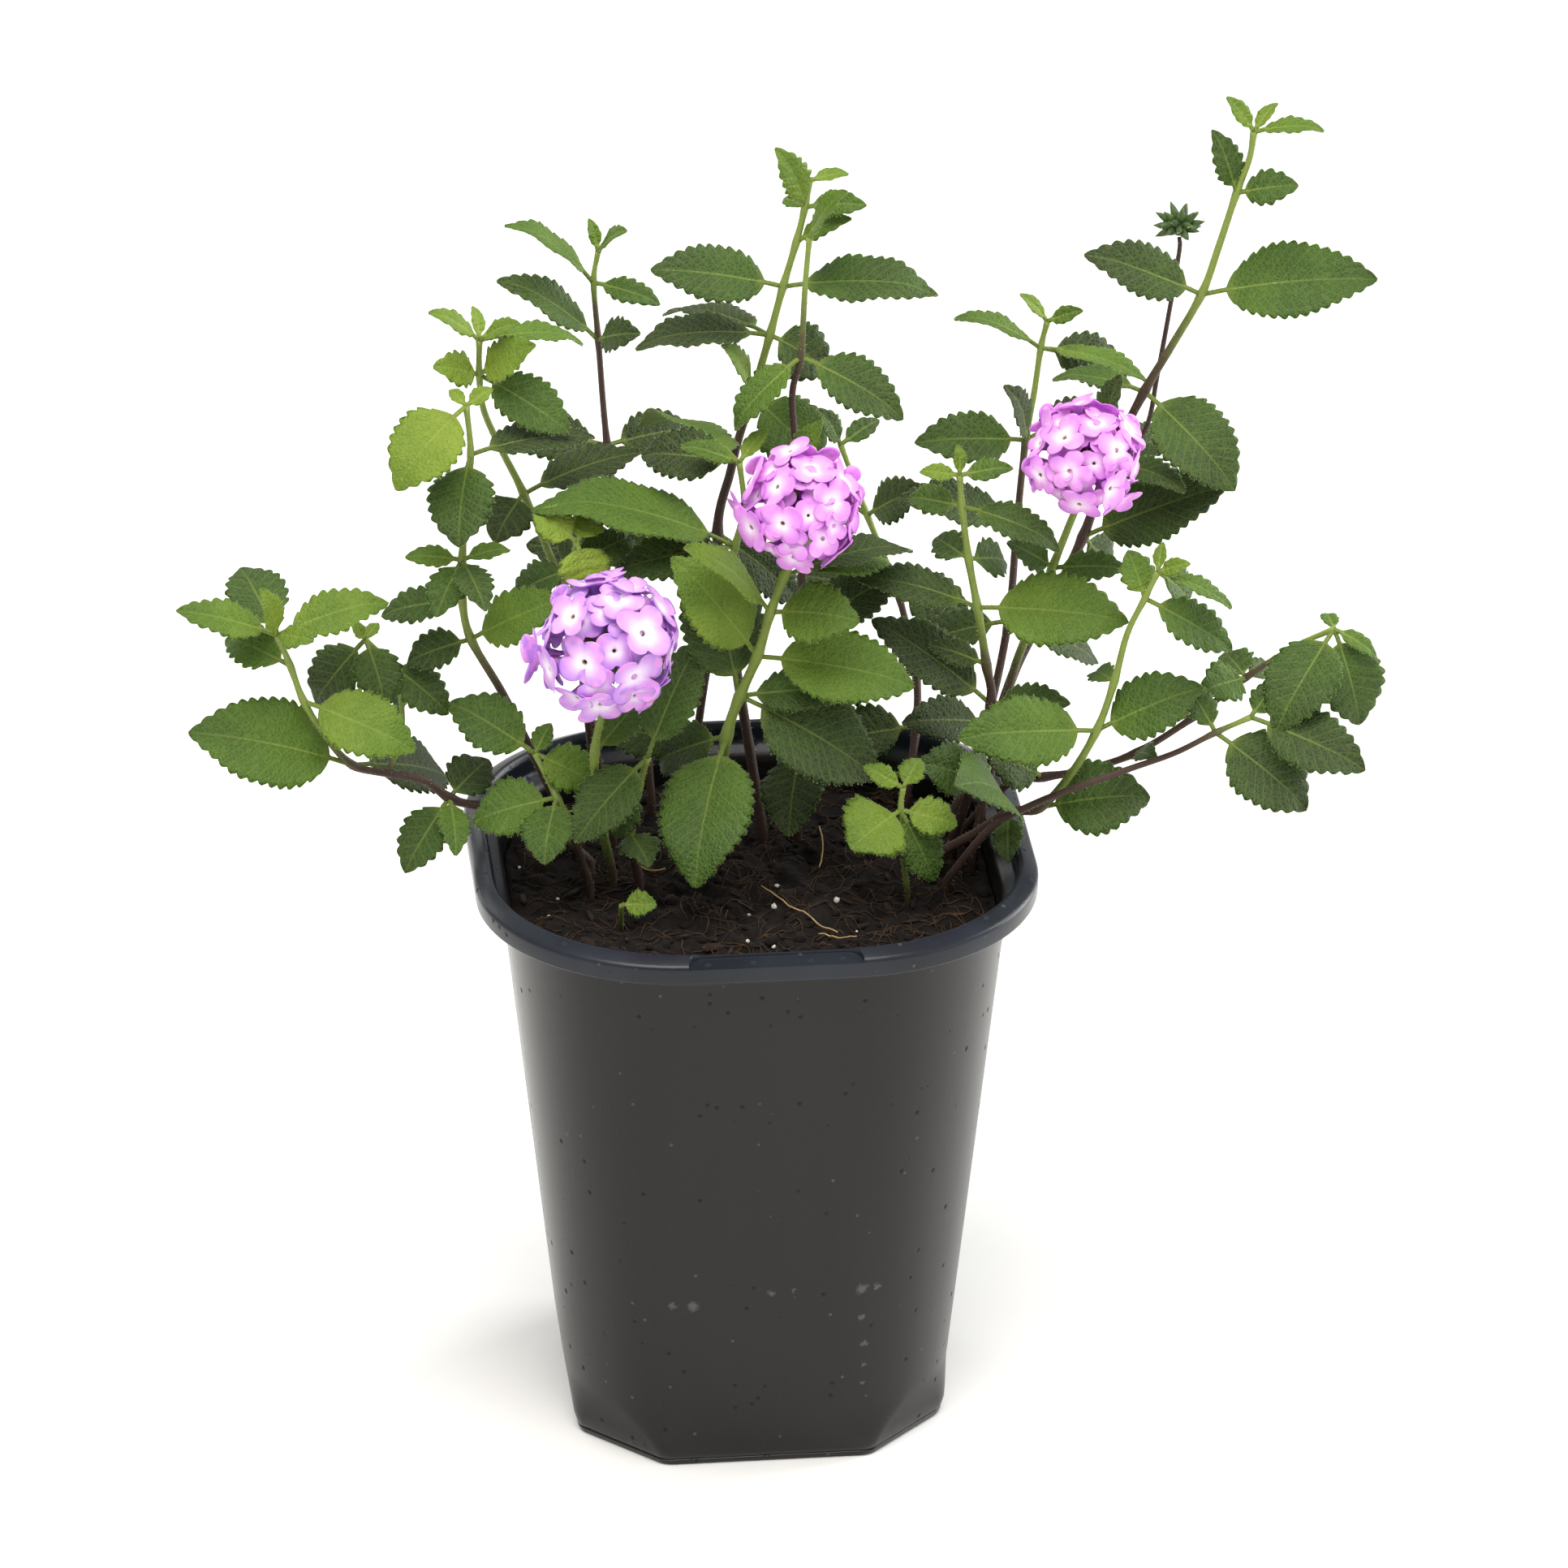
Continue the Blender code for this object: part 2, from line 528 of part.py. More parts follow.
def grow():
    """Every shoot with its points, and every leaf in its place."""
    shoots = {}
    for shoot in SHOOTS:
        points = [seen(*joint) for joint in shoot["joints"]]
        plant = shoot["name"]
        if "parent" in shoot:
            parent, joint = shoot["parent"]
            points = [shoots[parent]["points"][joint]] + points
            plant = shoots[parent]["plant"]
        else:
            points[0].z = SOIL_LEVEL + STEM_FOOT
        for head in HEADS + [BUD]:
            if head["stem"] == shoot["name"]:
                middle = seen(*head["middle"])
                points.append(middle + (points[-1] - middle).normalized() * (head["core"] + CLEARANCE))
        first = 1 if "parent" in shoot else 0
        shoots[shoot["name"]] = {**shoot, "points": points, "plant": plant, "first": first}
    guards = []
    stems = []
    for shoot in shoots.values():
        points, radii = stem_tube(shoot)
        wider = [radius + STEM_GUARD for radius in radii]
        guards.append(guard_of(tube(points, wider, STEM_SIDES), shoot["plant"]))
        stems.append(guard_of(tube(points, radii, STEM_SIDES), shoot["plant"]))
    for head in HEADS + [BUD]:
        guards.append(guard_of(head_guard(head), head["name"]))
    guards.append(guard_of(pot_guard(), "pot"))
    blades = []
    leaves = []
    for shoot in shoots.values():
        for row in shoot["leaves"]:
            joint_row = (row[0] + shoot["first"],) + tuple(row[1:])
            others = [g for g in guards if g["owner"] != shoot["plant"]]
            siblings = [b for b in blades + stems if b["owner"] == shoot["plant"]]
            placed = place_leaf(shoot, joint_row, others, siblings)
            if placed:
                leaf, whole, blade = placed
                leaves.append(leaf)
                guards.append(whole)
                blades.append(blade)
    return shoots, leaves


# Flower heads

def head_axis(head):
    """Which way the head faces."""
    return (seen(*head["faces"]) - seen(0, 0, 0)).normalized() if "faces" in head else Vector((0, 0, 1))


def head_guard(head):
    """The ball that the head's florets fill."""
    return ball(seen(*head["middle"]), Vector((0, 0, 1)), head["reach"], 8, 6)


def ball(middle, axis, radius, around, rings):
    """A closed ball as (vertices, faces), with a corner at each end of its axis."""
    side = axis.orthogonal().normalized()
    other = axis.cross(side)
    vertices = [middle - axis * radius]
    for ring in range(1, rings):
        tilt = pi * ring / rings
        for corner in range(around):
            turn = 2 * pi * corner / around
            out = (side * cos(turn) + other * sin(turn)) * sin(tilt) - axis * cos(tilt)
            vertices.append(middle + out * radius)
    vertices.append(middle + axis * radius)
    top = len(vertices) - 1
    faces = []
    for corner in range(around):
        after = (corner + 1) % around
        faces.append((0, 1 + after, 1 + corner))
        for ring in range(rings - 2):
            a = 1 + ring * around + corner
            b = 1 + ring * around + after
            faces.append((a, b, b + around, a + around))
        last = 1 + (rings - 2) * around
        faces.append((last + corner, last + after, top))
    return vertices, faces


def floret_places(head):
    """The middle, the outward direction and the size of each floret, on a spiral over the dome."""
    middle = seen(*head["middle"])
    axis = head_axis(head)
    side = axis.orthogonal().normalized()
    other = axis.cross(side)
    count = head["florets"]
    chance = Random(head["seed"])
    places = []
    for index in range(count):
        tilt = 2 * asin(sin(HEAD_TILT / 2) * sqrt((index + 0.4) / count))
        turn = GOLDEN_TURN * index
        out = axis * cos(tilt) + (side * cos(turn) + other * sin(turn)) * sin(tilt)
        size = head["floret"] * (1 + FLORET_LOOSE * chance.uniform(-1, 0.6))
        distance = sqrt(head["reach"] ** 2 - size ** 2) * (1 - FLORET_LOOSE * chance.random())
        loose = Vector([chance.uniform(-1, 1) for _ in range(3)]) * FLORET_LOOSE
        places.append((middle + out * distance, (out + loose).normalized(), size))
    return places


def floret_solid(place, apex):
    """One floret: a funnel that opens into a flat ring of round lobes."""
    middle, out, size = place
    side = out.orthogonal().normalized()
    other = out.cross(side)
    ring = []
    for lobe in range(FLORET_LOBES):
        for part, reach in ((-0.27, 0.94), (0.27, 0.94), (0.5, 0.66)):
            turn = 2 * pi * (lobe + part) / FLORET_LOBES
            ring.append(middle + (side * cos(turn) + other * sin(turn)) * size * reach)
    vertices = ring + [middle - out * size * FLORET_DIP, apex]
    faces = []
    for index in range(len(ring)):
        after = (index + 1) % len(ring)
        faces.append((index, after, len(ring)))
        faces.append((after, index, len(ring) + 1))
    return vertices, faces


# Pot and soil

def rounded_square(half, corner, height):
    """A ring of points round a square with round corners."""
    points = []
    middle = half - corner
    for quarter in range(4):
        for step in range(CORNER_STEPS + 1):
            turn = pi / 2 * (quarter + step / CORNER_STEPS)
            x = middle * (1 if quarter in (0, 3) else -1) + corner * cos(turn)
            y = middle * (1 if quarter in (0, 1) else -1) + corner * sin(turn)
            points.append(Vector((x, y, height)))
    return points


def chamfered_square(half, flat, height):
    """A ring of as many points round a square with its corners cut off."""
    points = []
    for quarter in range(4):
        turn = Matrix.Rotation(pi / 2 * quarter, 3, "Z")
        start = Vector((half, flat, height))
        end = Vector((flat, half, height))
        for step in range(CORNER_STEPS + 1):
            points.append(turn @ start.lerp(end, step / CORNER_STEPS))
    return points


def body_half(height):
    """Half the width of the pot's outer wall at this height."""
    share = (height - NOTCH_HEIGHT) / (SHOULDER_HEIGHT - NOTCH_HEIGHT)
    return BODY_LOW_HALF + (BODY_TOP_HALF - BODY_LOW_HALF) * share


def corner_of(half):
    """The corner radius of the ring with this half-width: round at the rim, squarer below."""
    share = (half - BODY_LOW_HALF) / (RIM_HALF - BODY_LOW_HALF)
    return FOOT_CORNER + (RIM_CORNER - FOOT_CORNER) * share


def ring_at(half, height):
    return rounded_square(half, corner_of(half), height)


def pot_rings():
    """The pot's rings, up its outside, over its rim and down its inside."""
    rings = [chamfered_square(FOOT_HALF - 1.8, FOOT_FLAT - 1.2, 0.0),
             chamfered_square(FOOT_HALF - 0.6, FOOT_FLAT - 0.4, 1.0),
             chamfered_square(FOOT_HALF, FOOT_FLAT, NOTCH_HEIGHT - 1.4)]
    low = body_half(NOTCH_HEIGHT)
    outside = [(low - 0.7, NOTCH_HEIGHT - 0.8), (low, NOTCH_HEIGHT + 0.6), (BODY_TOP_HALF, SHOULDER_HEIGHT)]
    inside = [(BODY_TOP_HALF - WALL, STACK_LOW), (body_half(FLOOR_THICKNESS) - WALL, FLOOR_THICKNESS)]
    for half, height in outside + RIM_PROFILE + inside:
        rings.append(ring_at(half, height))
    return rings


def lathe(rings):
    """A closed solid from rings of as many points each, capped at both ends."""
    around = len(rings[0])
    vertices = [point for ring in rings for point in ring]
    faces = []
    for ring in range(len(rings) - 1):
        for corner in range(around):
            a = ring * around + corner
            b = ring * around + (corner + 1) % around
            faces.append((a, b, b + around, a + around))
    faces.append(tuple(reversed(range(around))))
    faces.append(tuple(range(len(vertices) - around, len(vertices))))
    return vertices, faces


def pot_guard():
    """The pot with its soil, as leaves have to stay clear of it."""
    rings = [ring_at(body_half(20), 20), ring_at(BODY_TOP_HALF + 0.5, SKIRT_LOW - 4),
             ring_at(RIM_HALF + 0.6, SKIRT_LOW - 0.6), ring_at(RIM_HALF + 0.6, POT_HEIGHT + 0.5),
             ring_at(59.5, POT_HEIGHT + 0.5), ring_at(BODY_TOP_HALF - 2, STACK_LOW - 0.4),
             ring_at(50, SOIL_LEVEL + 1.6)]
    return lathe(rings)


def soil_height(x, y, share):
    """The soil's surface: lumpy, and a little lower where it meets the wall."""
    lumps = (0.9 * sin(x * 0.21 + 1.3) * cos(y * 0.17 - 0.4) + 0.6 * sin(x * 0.53 - y * 0.41)
             + 0.4 * cos(x * 0.83 + y * 0.77 + 2.0))
    return SOIL_LEVEL + lumps * (1 - 0.5 * share) - 1.0 * share ** 6


def soil_rings():
    """The soil's rings: up from the pot's floor along its wall, and in over the lumpy surface."""
    gap = WALL + CLEARANCE
    low = FLOOR_THICKNESS + CLEARANCE
    rings = [ring_at(body_half(low) - gap, low)]
    edge = ring_at(body_half(SOIL_LEVEL - 2) - gap, SOIL_LEVEL - 2)
    for step in range(SOIL_RINGS):
        share = 1 - step / SOIL_RINGS
        ring = []
        for point in edge:
            x = point.x * share
            y = point.y * share
            ring.append(Vector((x, y, soil_height(x, y, share))))
        rings.append(ring)
    return rings


# Objects

def material(name, colour, roughness, metallic=0.0):
    made = bpy.data.materials.new(name)
    made.use_nodes = True
    shader = made.node_tree.nodes["Principled BSDF"]
    shader.inputs["Base Color"].default_value = (*colour, 1)
    shader.inputs["Roughness"].default_value = roughness
    shader.inputs["Metallic"].default_value = metallic
    return made


def solid_object(name, solid, finish=None):
    """An object from (vertices, faces) in millimetres, split into triangles."""
    vertices, faces = solid
    mesh = bpy.data.meshes.new(name)
    mesh.from_pydata([v * MM for v in vertices], [], faces)
    bm = bmesh.new()
    bm.from_mesh(mesh)
    bmesh.ops.triangulate(bm, faces=bm.faces)
    bm.to_mesh(mesh)
    bm.free()
    obj = bpy.data.objects.new(name, mesh)
    bpy.context.scene.collection.objects.link(obj)
    if finish:
        mesh.materials.append(finish)
    return obj


def combine(obj, solids, operation, solver="EXACT"):
    """Joins the solids to the object, or cuts them from it, by one Boolean on a collection."""
    group = bpy.data.collections.new(obj.name + "_pieces")
    bpy.context.scene.collection.children.link(group)
    pieces = []
    for index, solid in enumerate(solids):
        piece = solid_object(f"{obj.name}_piece_{index}", solid)
        bpy.context.scene.collection.objects.unlink(piece)
        group.objects.link(piece)
        pieces.append(piece)
    boolean = obj.modifiers.new("join", "BOOLEAN")
    boolean.operand_type = "COLLECTION"
    boolean.collection = group
    boolean.operation = operation
    boolean.solver = solver
    bpy.context.view_layer.objects.active = obj
    bpy.ops.object.modifier_apply(modifier=boolean.name)
    for piece in pieces:
        bpy.data.objects.remove(piece)
    bpy.data.collections.remove(group)


def drop_scraps(obj):
    """Keeps the object's largest body and leaves out any loose scrap and any sealed hollow."""
    bm = bmesh.new()
    bm.from_mesh(obj.data)
    left = set(bm.verts)
    bodies = []
    while left:
        body = {left.pop()}
        front = list(body)
        while front:
            vertex = front.pop()
            for edge in vertex.link_edges:
                other = edge.other_vert(vertex)
                if other not in body:
                    body.add(other)
                    front.append(other)
        left -= body
        bodies.append(body)
    largest = max(bodies, key=len)
    extra = [v for body in bodies if body is not largest for v in body]
    bmesh.ops.delete(bm, geom=extra, context="VERTS")
    bm.to_mesh(obj.data)
    bm.free()


def make_pot(finish):
    pot = solid_object("pot", lathe(pot_rings()), finish)
    drains = []
    for x in (-DRAIN_PLACE, DRAIN_PLACE):
        for y in (-DRAIN_PLACE, DRAIN_PLACE):
            ends = [Vector((x, y, -2)), Vector((x, y, FLOOR_THICKNESS + 2))]
            drains.append(tube(ends, [DRAIN_RADIUS] * 2, DRAIN_SIDES))
    outer = Vector((0, -RIM_HALF - 1, POT_HEIGHT + 1))
    label = rounded_slot(LABEL_LENGTH, LABEL_DEPTH + 1, outer, POT_HEIGHT - LABEL_STEP)
    combine(pot, drains + [label], "DIFFERENCE")
    return pot


def rounded_slot(length, depth, start, low):
    """A block with two round inner corners, which cuts the label's ledge into the rim's front."""
    corner = LABEL_CORNER
    outline = [(-length / 2, 0), (length / 2, 0)]
    for step in range(4):
        turn = pi / 2 * step / 3
        outline.append((length / 2 - corner + corner * cos(turn), depth - corner + corner * sin(turn)))
    for step in range(4):
        turn = pi / 2 * (1 + step / 3)
        outline.append((-length / 2 + corner + corner * cos(turn), depth - corner + corner * sin(turn)))
    rings = []
    for height in (low, start.z):
        rings.append([Vector((x, start.y + y, height)) for x, y in outline])
    return lathe(rings)


def make_soil(finish, shoots):
    soil = solid_object("soil", lathe(soil_rings()), finish)
    holes = []
    for shoot in shoots.values():
        if "parent" in shoot:
            continue
        foot = shoot["points"][0]
        bottom = Vector((foot.x, foot.y, SOIL_LEVEL - HOLE_DEPTH))
        ends = [bottom, bottom + Vector((0, 0, HOLE_DEPTH + 6))]
        radius = shoot["radii"][0] + CLEARANCE / cos(pi / STEM_SIDES)
        holes.append(tube(ends, [radius] * 2, STEM_SIDES))
    combine(soil, holes, "DIFFERENCE")
    return soil


def make_shoot(plant, shoots, leaves, finish):
    """One leafy shoot with its side shoots, as one solid."""
    own = [shoot for shoot in shoots.values() if shoot["plant"] == plant]
    names = {shoot["name"] for shoot in own}
    stems = [tube(*stem_tube(shoot), STEM_SIDES) for shoot in own]
    obj = solid_object(plant, stems[0], finish)
    blades = [leaf_solid(leaf, LEAF_THICK) for leaf in leaves if leaf["shoot"] in names]
    combine(obj, stems[1:] + blades, "UNION")
    drop_scraps(obj)
    return obj


def make_head(head, shoots, finish):
    """One flower head: funnel-shaped florets that stand out of a small core."""
    middle = seen(*head["middle"])
    axis = (middle - shoots[head["stem"]]["points"][-1]).normalized()
    obj = solid_object(head["name"], ball(middle, axis, head["core"], 8, 6), finish)
    florets = []
    for place in floret_places(head):
        apex = middle + (place[0] - middle).normalized() * head["core"] * 0.45
        florets.append(floret_solid(place, apex))
    combine(obj, florets, "UNION")
    drop_scraps(obj)
    return obj


def make_bud(head, shoots, finish):
    """The young head: pointed bracts round a small core, still without florets."""
    middle = seen(*head["middle"])
    reach = head["reach"]
    axis = (middle - shoots[head["stem"]]["points"][-1]).normalized()
    obj = solid_object(head["name"], ball(middle, axis, head["core"], 6, 4), finish)
    bracts = []
    for index in range(head["bracts"]):
        tilt = BRACT_TILT * sqrt((index + 0.5) / head["bracts"])
        turn = GOLDEN_TURN * index
        out = Vector((sin(tilt) * cos(turn), sin(tilt) * sin(turn), cos(tilt)))
        points = [middle + out * reach * share for share in (0.15, 0.6, 1.0)]
        bracts.append(tube(points, [1.0, 1.15, 0.15], 3))
    combine(obj, bracts, "UNION")
    drop_scraps(obj)
    return obj


def clear_scene():
    for obj in list(bpy.data.objects):
        bpy.data.objects.remove(obj)


def main():
    clear_scene()
    shoots, leaves = grow()
    plastic = material("pot plastic", (0.035, 0.036, 0.038), 0.45)
    earth = material("potting soil", (0.035, 0.020, 0.012), 0.95)
    green = material("lantana leaf", (0.10, 0.20, 0.04), 0.55)
    pink = material("lantana floret", (0.72, 0.38, 0.78), 0.6)
    dark = material("lantana bract", (0.06, 0.10, 0.03), 0.6)
    make_pot(plastic)
    make_soil(earth, shoots)
    for name, shoot in shoots.items():
        if "parent" not in shoot:
            make_shoot(name, shoots, leaves, green)
    for head in HEADS:
        make_head(head, shoots, pink)
    make_bud(BUD, shoots, dark)


main()
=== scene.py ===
# %% [markdown]
# A trailing lantana in bloom, in a square nursery pot. The imported model gives the place and the
# size of the pot, the soil, every leafy shoot and every flower head, as plain faceted solids. This
# lesson dresses them: each solid is replaced by a finer piece of the same form in the same place,
# with a finish made of nodes. The model's solids are kept, but hidden.

import json
from math import acos, asin, cos, pi, radians, sin, sqrt
from random import Random

import bpy
import numpy as np
from mathutils import Matrix, Vector, noise
from mathutils.bvhtree import BVHTree

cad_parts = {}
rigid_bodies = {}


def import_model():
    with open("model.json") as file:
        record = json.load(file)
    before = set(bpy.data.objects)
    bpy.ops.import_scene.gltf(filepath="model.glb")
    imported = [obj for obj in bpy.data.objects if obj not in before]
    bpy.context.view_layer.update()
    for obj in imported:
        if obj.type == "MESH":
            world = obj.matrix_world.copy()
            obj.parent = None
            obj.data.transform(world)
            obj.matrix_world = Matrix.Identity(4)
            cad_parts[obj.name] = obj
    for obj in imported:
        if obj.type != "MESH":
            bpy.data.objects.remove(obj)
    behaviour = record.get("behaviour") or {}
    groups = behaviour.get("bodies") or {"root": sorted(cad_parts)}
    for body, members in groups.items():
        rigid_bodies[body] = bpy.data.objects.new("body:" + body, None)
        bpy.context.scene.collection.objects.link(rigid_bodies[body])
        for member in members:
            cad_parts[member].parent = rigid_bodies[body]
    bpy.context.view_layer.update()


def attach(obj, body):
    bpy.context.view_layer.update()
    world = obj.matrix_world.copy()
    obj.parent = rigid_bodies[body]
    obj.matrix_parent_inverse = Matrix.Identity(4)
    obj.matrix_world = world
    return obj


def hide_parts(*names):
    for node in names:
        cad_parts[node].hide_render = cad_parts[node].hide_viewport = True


MM = 0.001

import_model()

# %% [markdown]
# The camera stands where a buyer stands: in front of the pot, about 26 degrees above it, and some 5
# degrees to the right of the pot's labelled side. It is far off with a long lens, so the pot's
# upright edges stay nearly parallel. It is made first, because it says what the rest has to look
# like. Everything is in metres, with +Z up and the pot standing at the origin.

# %% Camera
VIEW_TURN = radians(5.5)
LENS = 222.0


def turned(x, y, z):
    """A point, turned about the pot's axis as the viewer stands."""
    return Matrix.Rotation(-VIEW_TURN, 3, "Z") @ Vector((x, y, z))


def make_camera(eye, target):
    camera = bpy.data.objects.new("camera", bpy.data.cameras.new("camera"))
    camera.data.lens = LENS
    camera.data.sensor_width = 36.0
    camera.data.clip_end = 20.0
    camera.location = eye
    camera.rotation_euler = (target - eye).to_track_quat("-Z", "Y").to_euler()
    bpy.context.scene.collection.objects.link(camera)
    bpy.context.scene.camera = camera
    return camera


CAMERA_PLACE = turned(0, -1.9745, 1.0988)
CAMERA_TARGET = turned(0.0079, 0.0048, 0.1499)
camera = make_camera(CAMERA_PLACE, CAMERA_TARGET)
print("the camera is", round(camera.location.length, 2), "m from the pot's foot")

# %% [markdown]
# Colours are written as sRGB hex values, as they are read from a picture or a colour chart.
# Blender's shaders reckon in linear light, so one function turns the one into the other. A second
# one adds a node with its settings and its links, which keeps each finish below short.

# %% Colours and nodes
ADD = {"operation": "ADD"}
MULTIPLY_ADD = {"operation": "MULTIPLY_ADD"}
MULTIPLY = {"operation": "MULTIPLY"}
MAXIMUM = {"operation": "MAXIMUM"}
GREATER = {"operation": "GREATER_THAN"}
SMOOTH = {"interpolation_type": "SMOOTHSTEP"}
COLOURS = {"data_type": "RGBA"}


def linear(hex_colour):
    """An sRGB colour such as "5f8f3a" as linear red, green, blue and alpha."""
    channels = [int(hex_colour[i:i + 2], 16) / 255 for i in (0, 2, 4)]
    return tuple(c / 12.92 if c <= 0.04045 else ((c + 0.055) / 1.055) ** 2.4 for c in channels) + (1.0,)


def add_node(tree, kind, settings=None, inputs=None):
    """Adds a shader node with these settings. An input is a value, or the output it is linked to."""
    node = tree.nodes.new("ShaderNode" + kind)
    for name, value in (settings or {}).items():
        setattr(node, name, value)
    for name, value in (inputs or {}).items():
        if isinstance(value, bpy.types.NodeSocket):
            tree.links.new(value, node.inputs[name])
        else:
            node.inputs[name].default_value = value
    return node


def set_stops(ramp, stops):
    """Gives a colour ramp its stops, as (place, hex colour)."""
    elements = ramp.color_ramp.elements
    while len(elements) < len(stops):
        elements.new(1.0)
    for element, (place, colour) in zip(elements, stops):
        element.position = place
        element.color = linear(colour)


def new_finish(name, fixed):
    """A material with its node tree and its shader, which gets these fixed values."""
    finish = bpy.data.materials.new(name)
    finish.use_nodes = True
    shader = finish.node_tree.nodes["Principled BSDF"]
    for socket, value in fixed.items():
        shader.inputs[socket].default_value = value
    return finish, finish.node_tree, shader


print("a leaf green in linear light:", [round(c, 3) for c in linear("5f8f3a")])

# %% [markdown]
# A shoot has a stem, a dozen leaves and thousands of hairs, and all of it is one piece. A pile
# gathers those small forms as arrays of points and faces, with what the finish has to know of each
# point, such as how old the leaf is. One mesh is made of it at the end. Arrays are far quicker here
# than one object for each leaf, joined later.

# %% Piling small forms into one mesh
class Pile:
    """Small forms of one piece, in millimetres, each with its material and its marks."""

    def __init__(self):
        self.points = []
        self.faces = []
        self.finishes = []
        self.marks = {}
        self.count = 0

    def add(self, points, faces, finish=0, **marks):
        """Adds a form. A mark is one value, or a row of values or vectors, one for each point."""
        points = np.asarray(points, float).reshape(-1, 3)
        for name, value in marks.items():
            value = np.asarray(value, float)
            if value.ndim == 0:
                value = np.full(len(points), value)
            self.marks.setdefault(name, []).append((self.count, value))
        self.faces += [tuple(i + self.count for i in face) for face in faces]
        self.finishes += [finish] * len(faces)
        self.points.append(points)
        self.count += len(points)

    def object(self, name, finishes, smooth=True):
        """One object of all the forms. A mark is 0 where a form has none."""
        mesh = bpy.data.meshes.new(name)
        mesh.from_pydata(np.concatenate(self.points) * MM, [], self.faces)
        mesh.polygons.foreach_set("material_index", self.finishes)
        mesh.polygons.foreach_set("use_smooth", [smooth] * len(self.faces))
        for mark, rows in self.marks.items():
            vector = rows[0][1].ndim == 2
            values = np.zeros((self.count, 3) if vector else self.count)
            for start, value in rows:
                values[start:start + len(value)] = value
            kind, field = ("FLOAT_VECTOR", "vector") if vector else ("FLOAT", "value")
            mesh.attributes.new(mark, kind, "POINT").data.foreach_set(field, values.ravel())
        mesh.validate()
        obj = bpy.data.objects.new(name, mesh)
        bpy.context.scene.collection.objects.link(obj)
        for finish in finishes:
            mesh.materials.append(finish)
        return obj


def dress(obj, node):
    """The piece stands for its node, which is hidden, and rides with the pot."""
    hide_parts(node)
    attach(obj, "root")


print("a pile makes one mesh of many small forms")

# %% [markdown]
# The plant is drawn as it is seen. A point is (across, up, away): across and up are measured square
# to the line of sight from the middle of the pot's rim, and away is the depth behind the middle of
# the pot, all in millimetres. The viewer in these sizes looks down by 25.9 degrees. A stem is a
# smooth curve through such points. They are the very points that the solids were grown from, so
# that each fine leaf lies where its solid leaf lies.

# %% From what is seen to where it is
VIEW_DISTANCE = 2195.0
VIEW_TILT = radians(25.9)
VIEW_ASIDE = 1.9
POT_HEIGHT = 140.0
SOIL_LEVEL = 128.0
EYE = Vector((0, -VIEW_DISTANCE * cos(VIEW_TILT), POT_HEIGHT + VIEW_DISTANCE * sin(VIEW_TILT)))


def on_sight_line(across, up):
    """A point on the line of sight through what is seen there, before the viewer's turn."""
    return Vector((across + VIEW_ASIDE, up * sin(VIEW_TILT), POT_HEIGHT + up * cos(VIEW_TILT)))


def seen(across, up, away):
    """The point that is seen there, at that depth."""
    plane = on_sight_line(across, up)
    return turned(*(EYE + (plane - EYE) * (away - EYE.y) / (plane.y - EYE.y)))


def seen_on_soil(across, up):
    """The point of the soil's surface that is seen there."""
    plane = on_sight_line(across, up)
    return turned(*(EYE + (plane - EYE) * (SOIL_LEVEL - EYE.z) / (plane.z - EYE.z)))


def smooth_curve(points, steps):
    """Points along a smooth curve through the given ones, with this many steps between each two."""
    ends = [points[0] * 2 - points[1]] + points + [points[-1] * 2 - points[-2]]
    curve = []
    for a, b, c, d in zip(ends, ends[1:], ends[2:], ends[3:]):
        for step in range(steps):
            t = step / steps
            curve.append(0.5 * (2 * b + (c - a) * t + (2 * a - 5 * b + 4 * c - d) * t * t
                                + (3 * b - 3 * c + d - a) * t ** 3))
    return curve + [points[-1]]


print("the middle of the rim is seen at", [round(v, 1) for v in seen(0, 0, 0)])
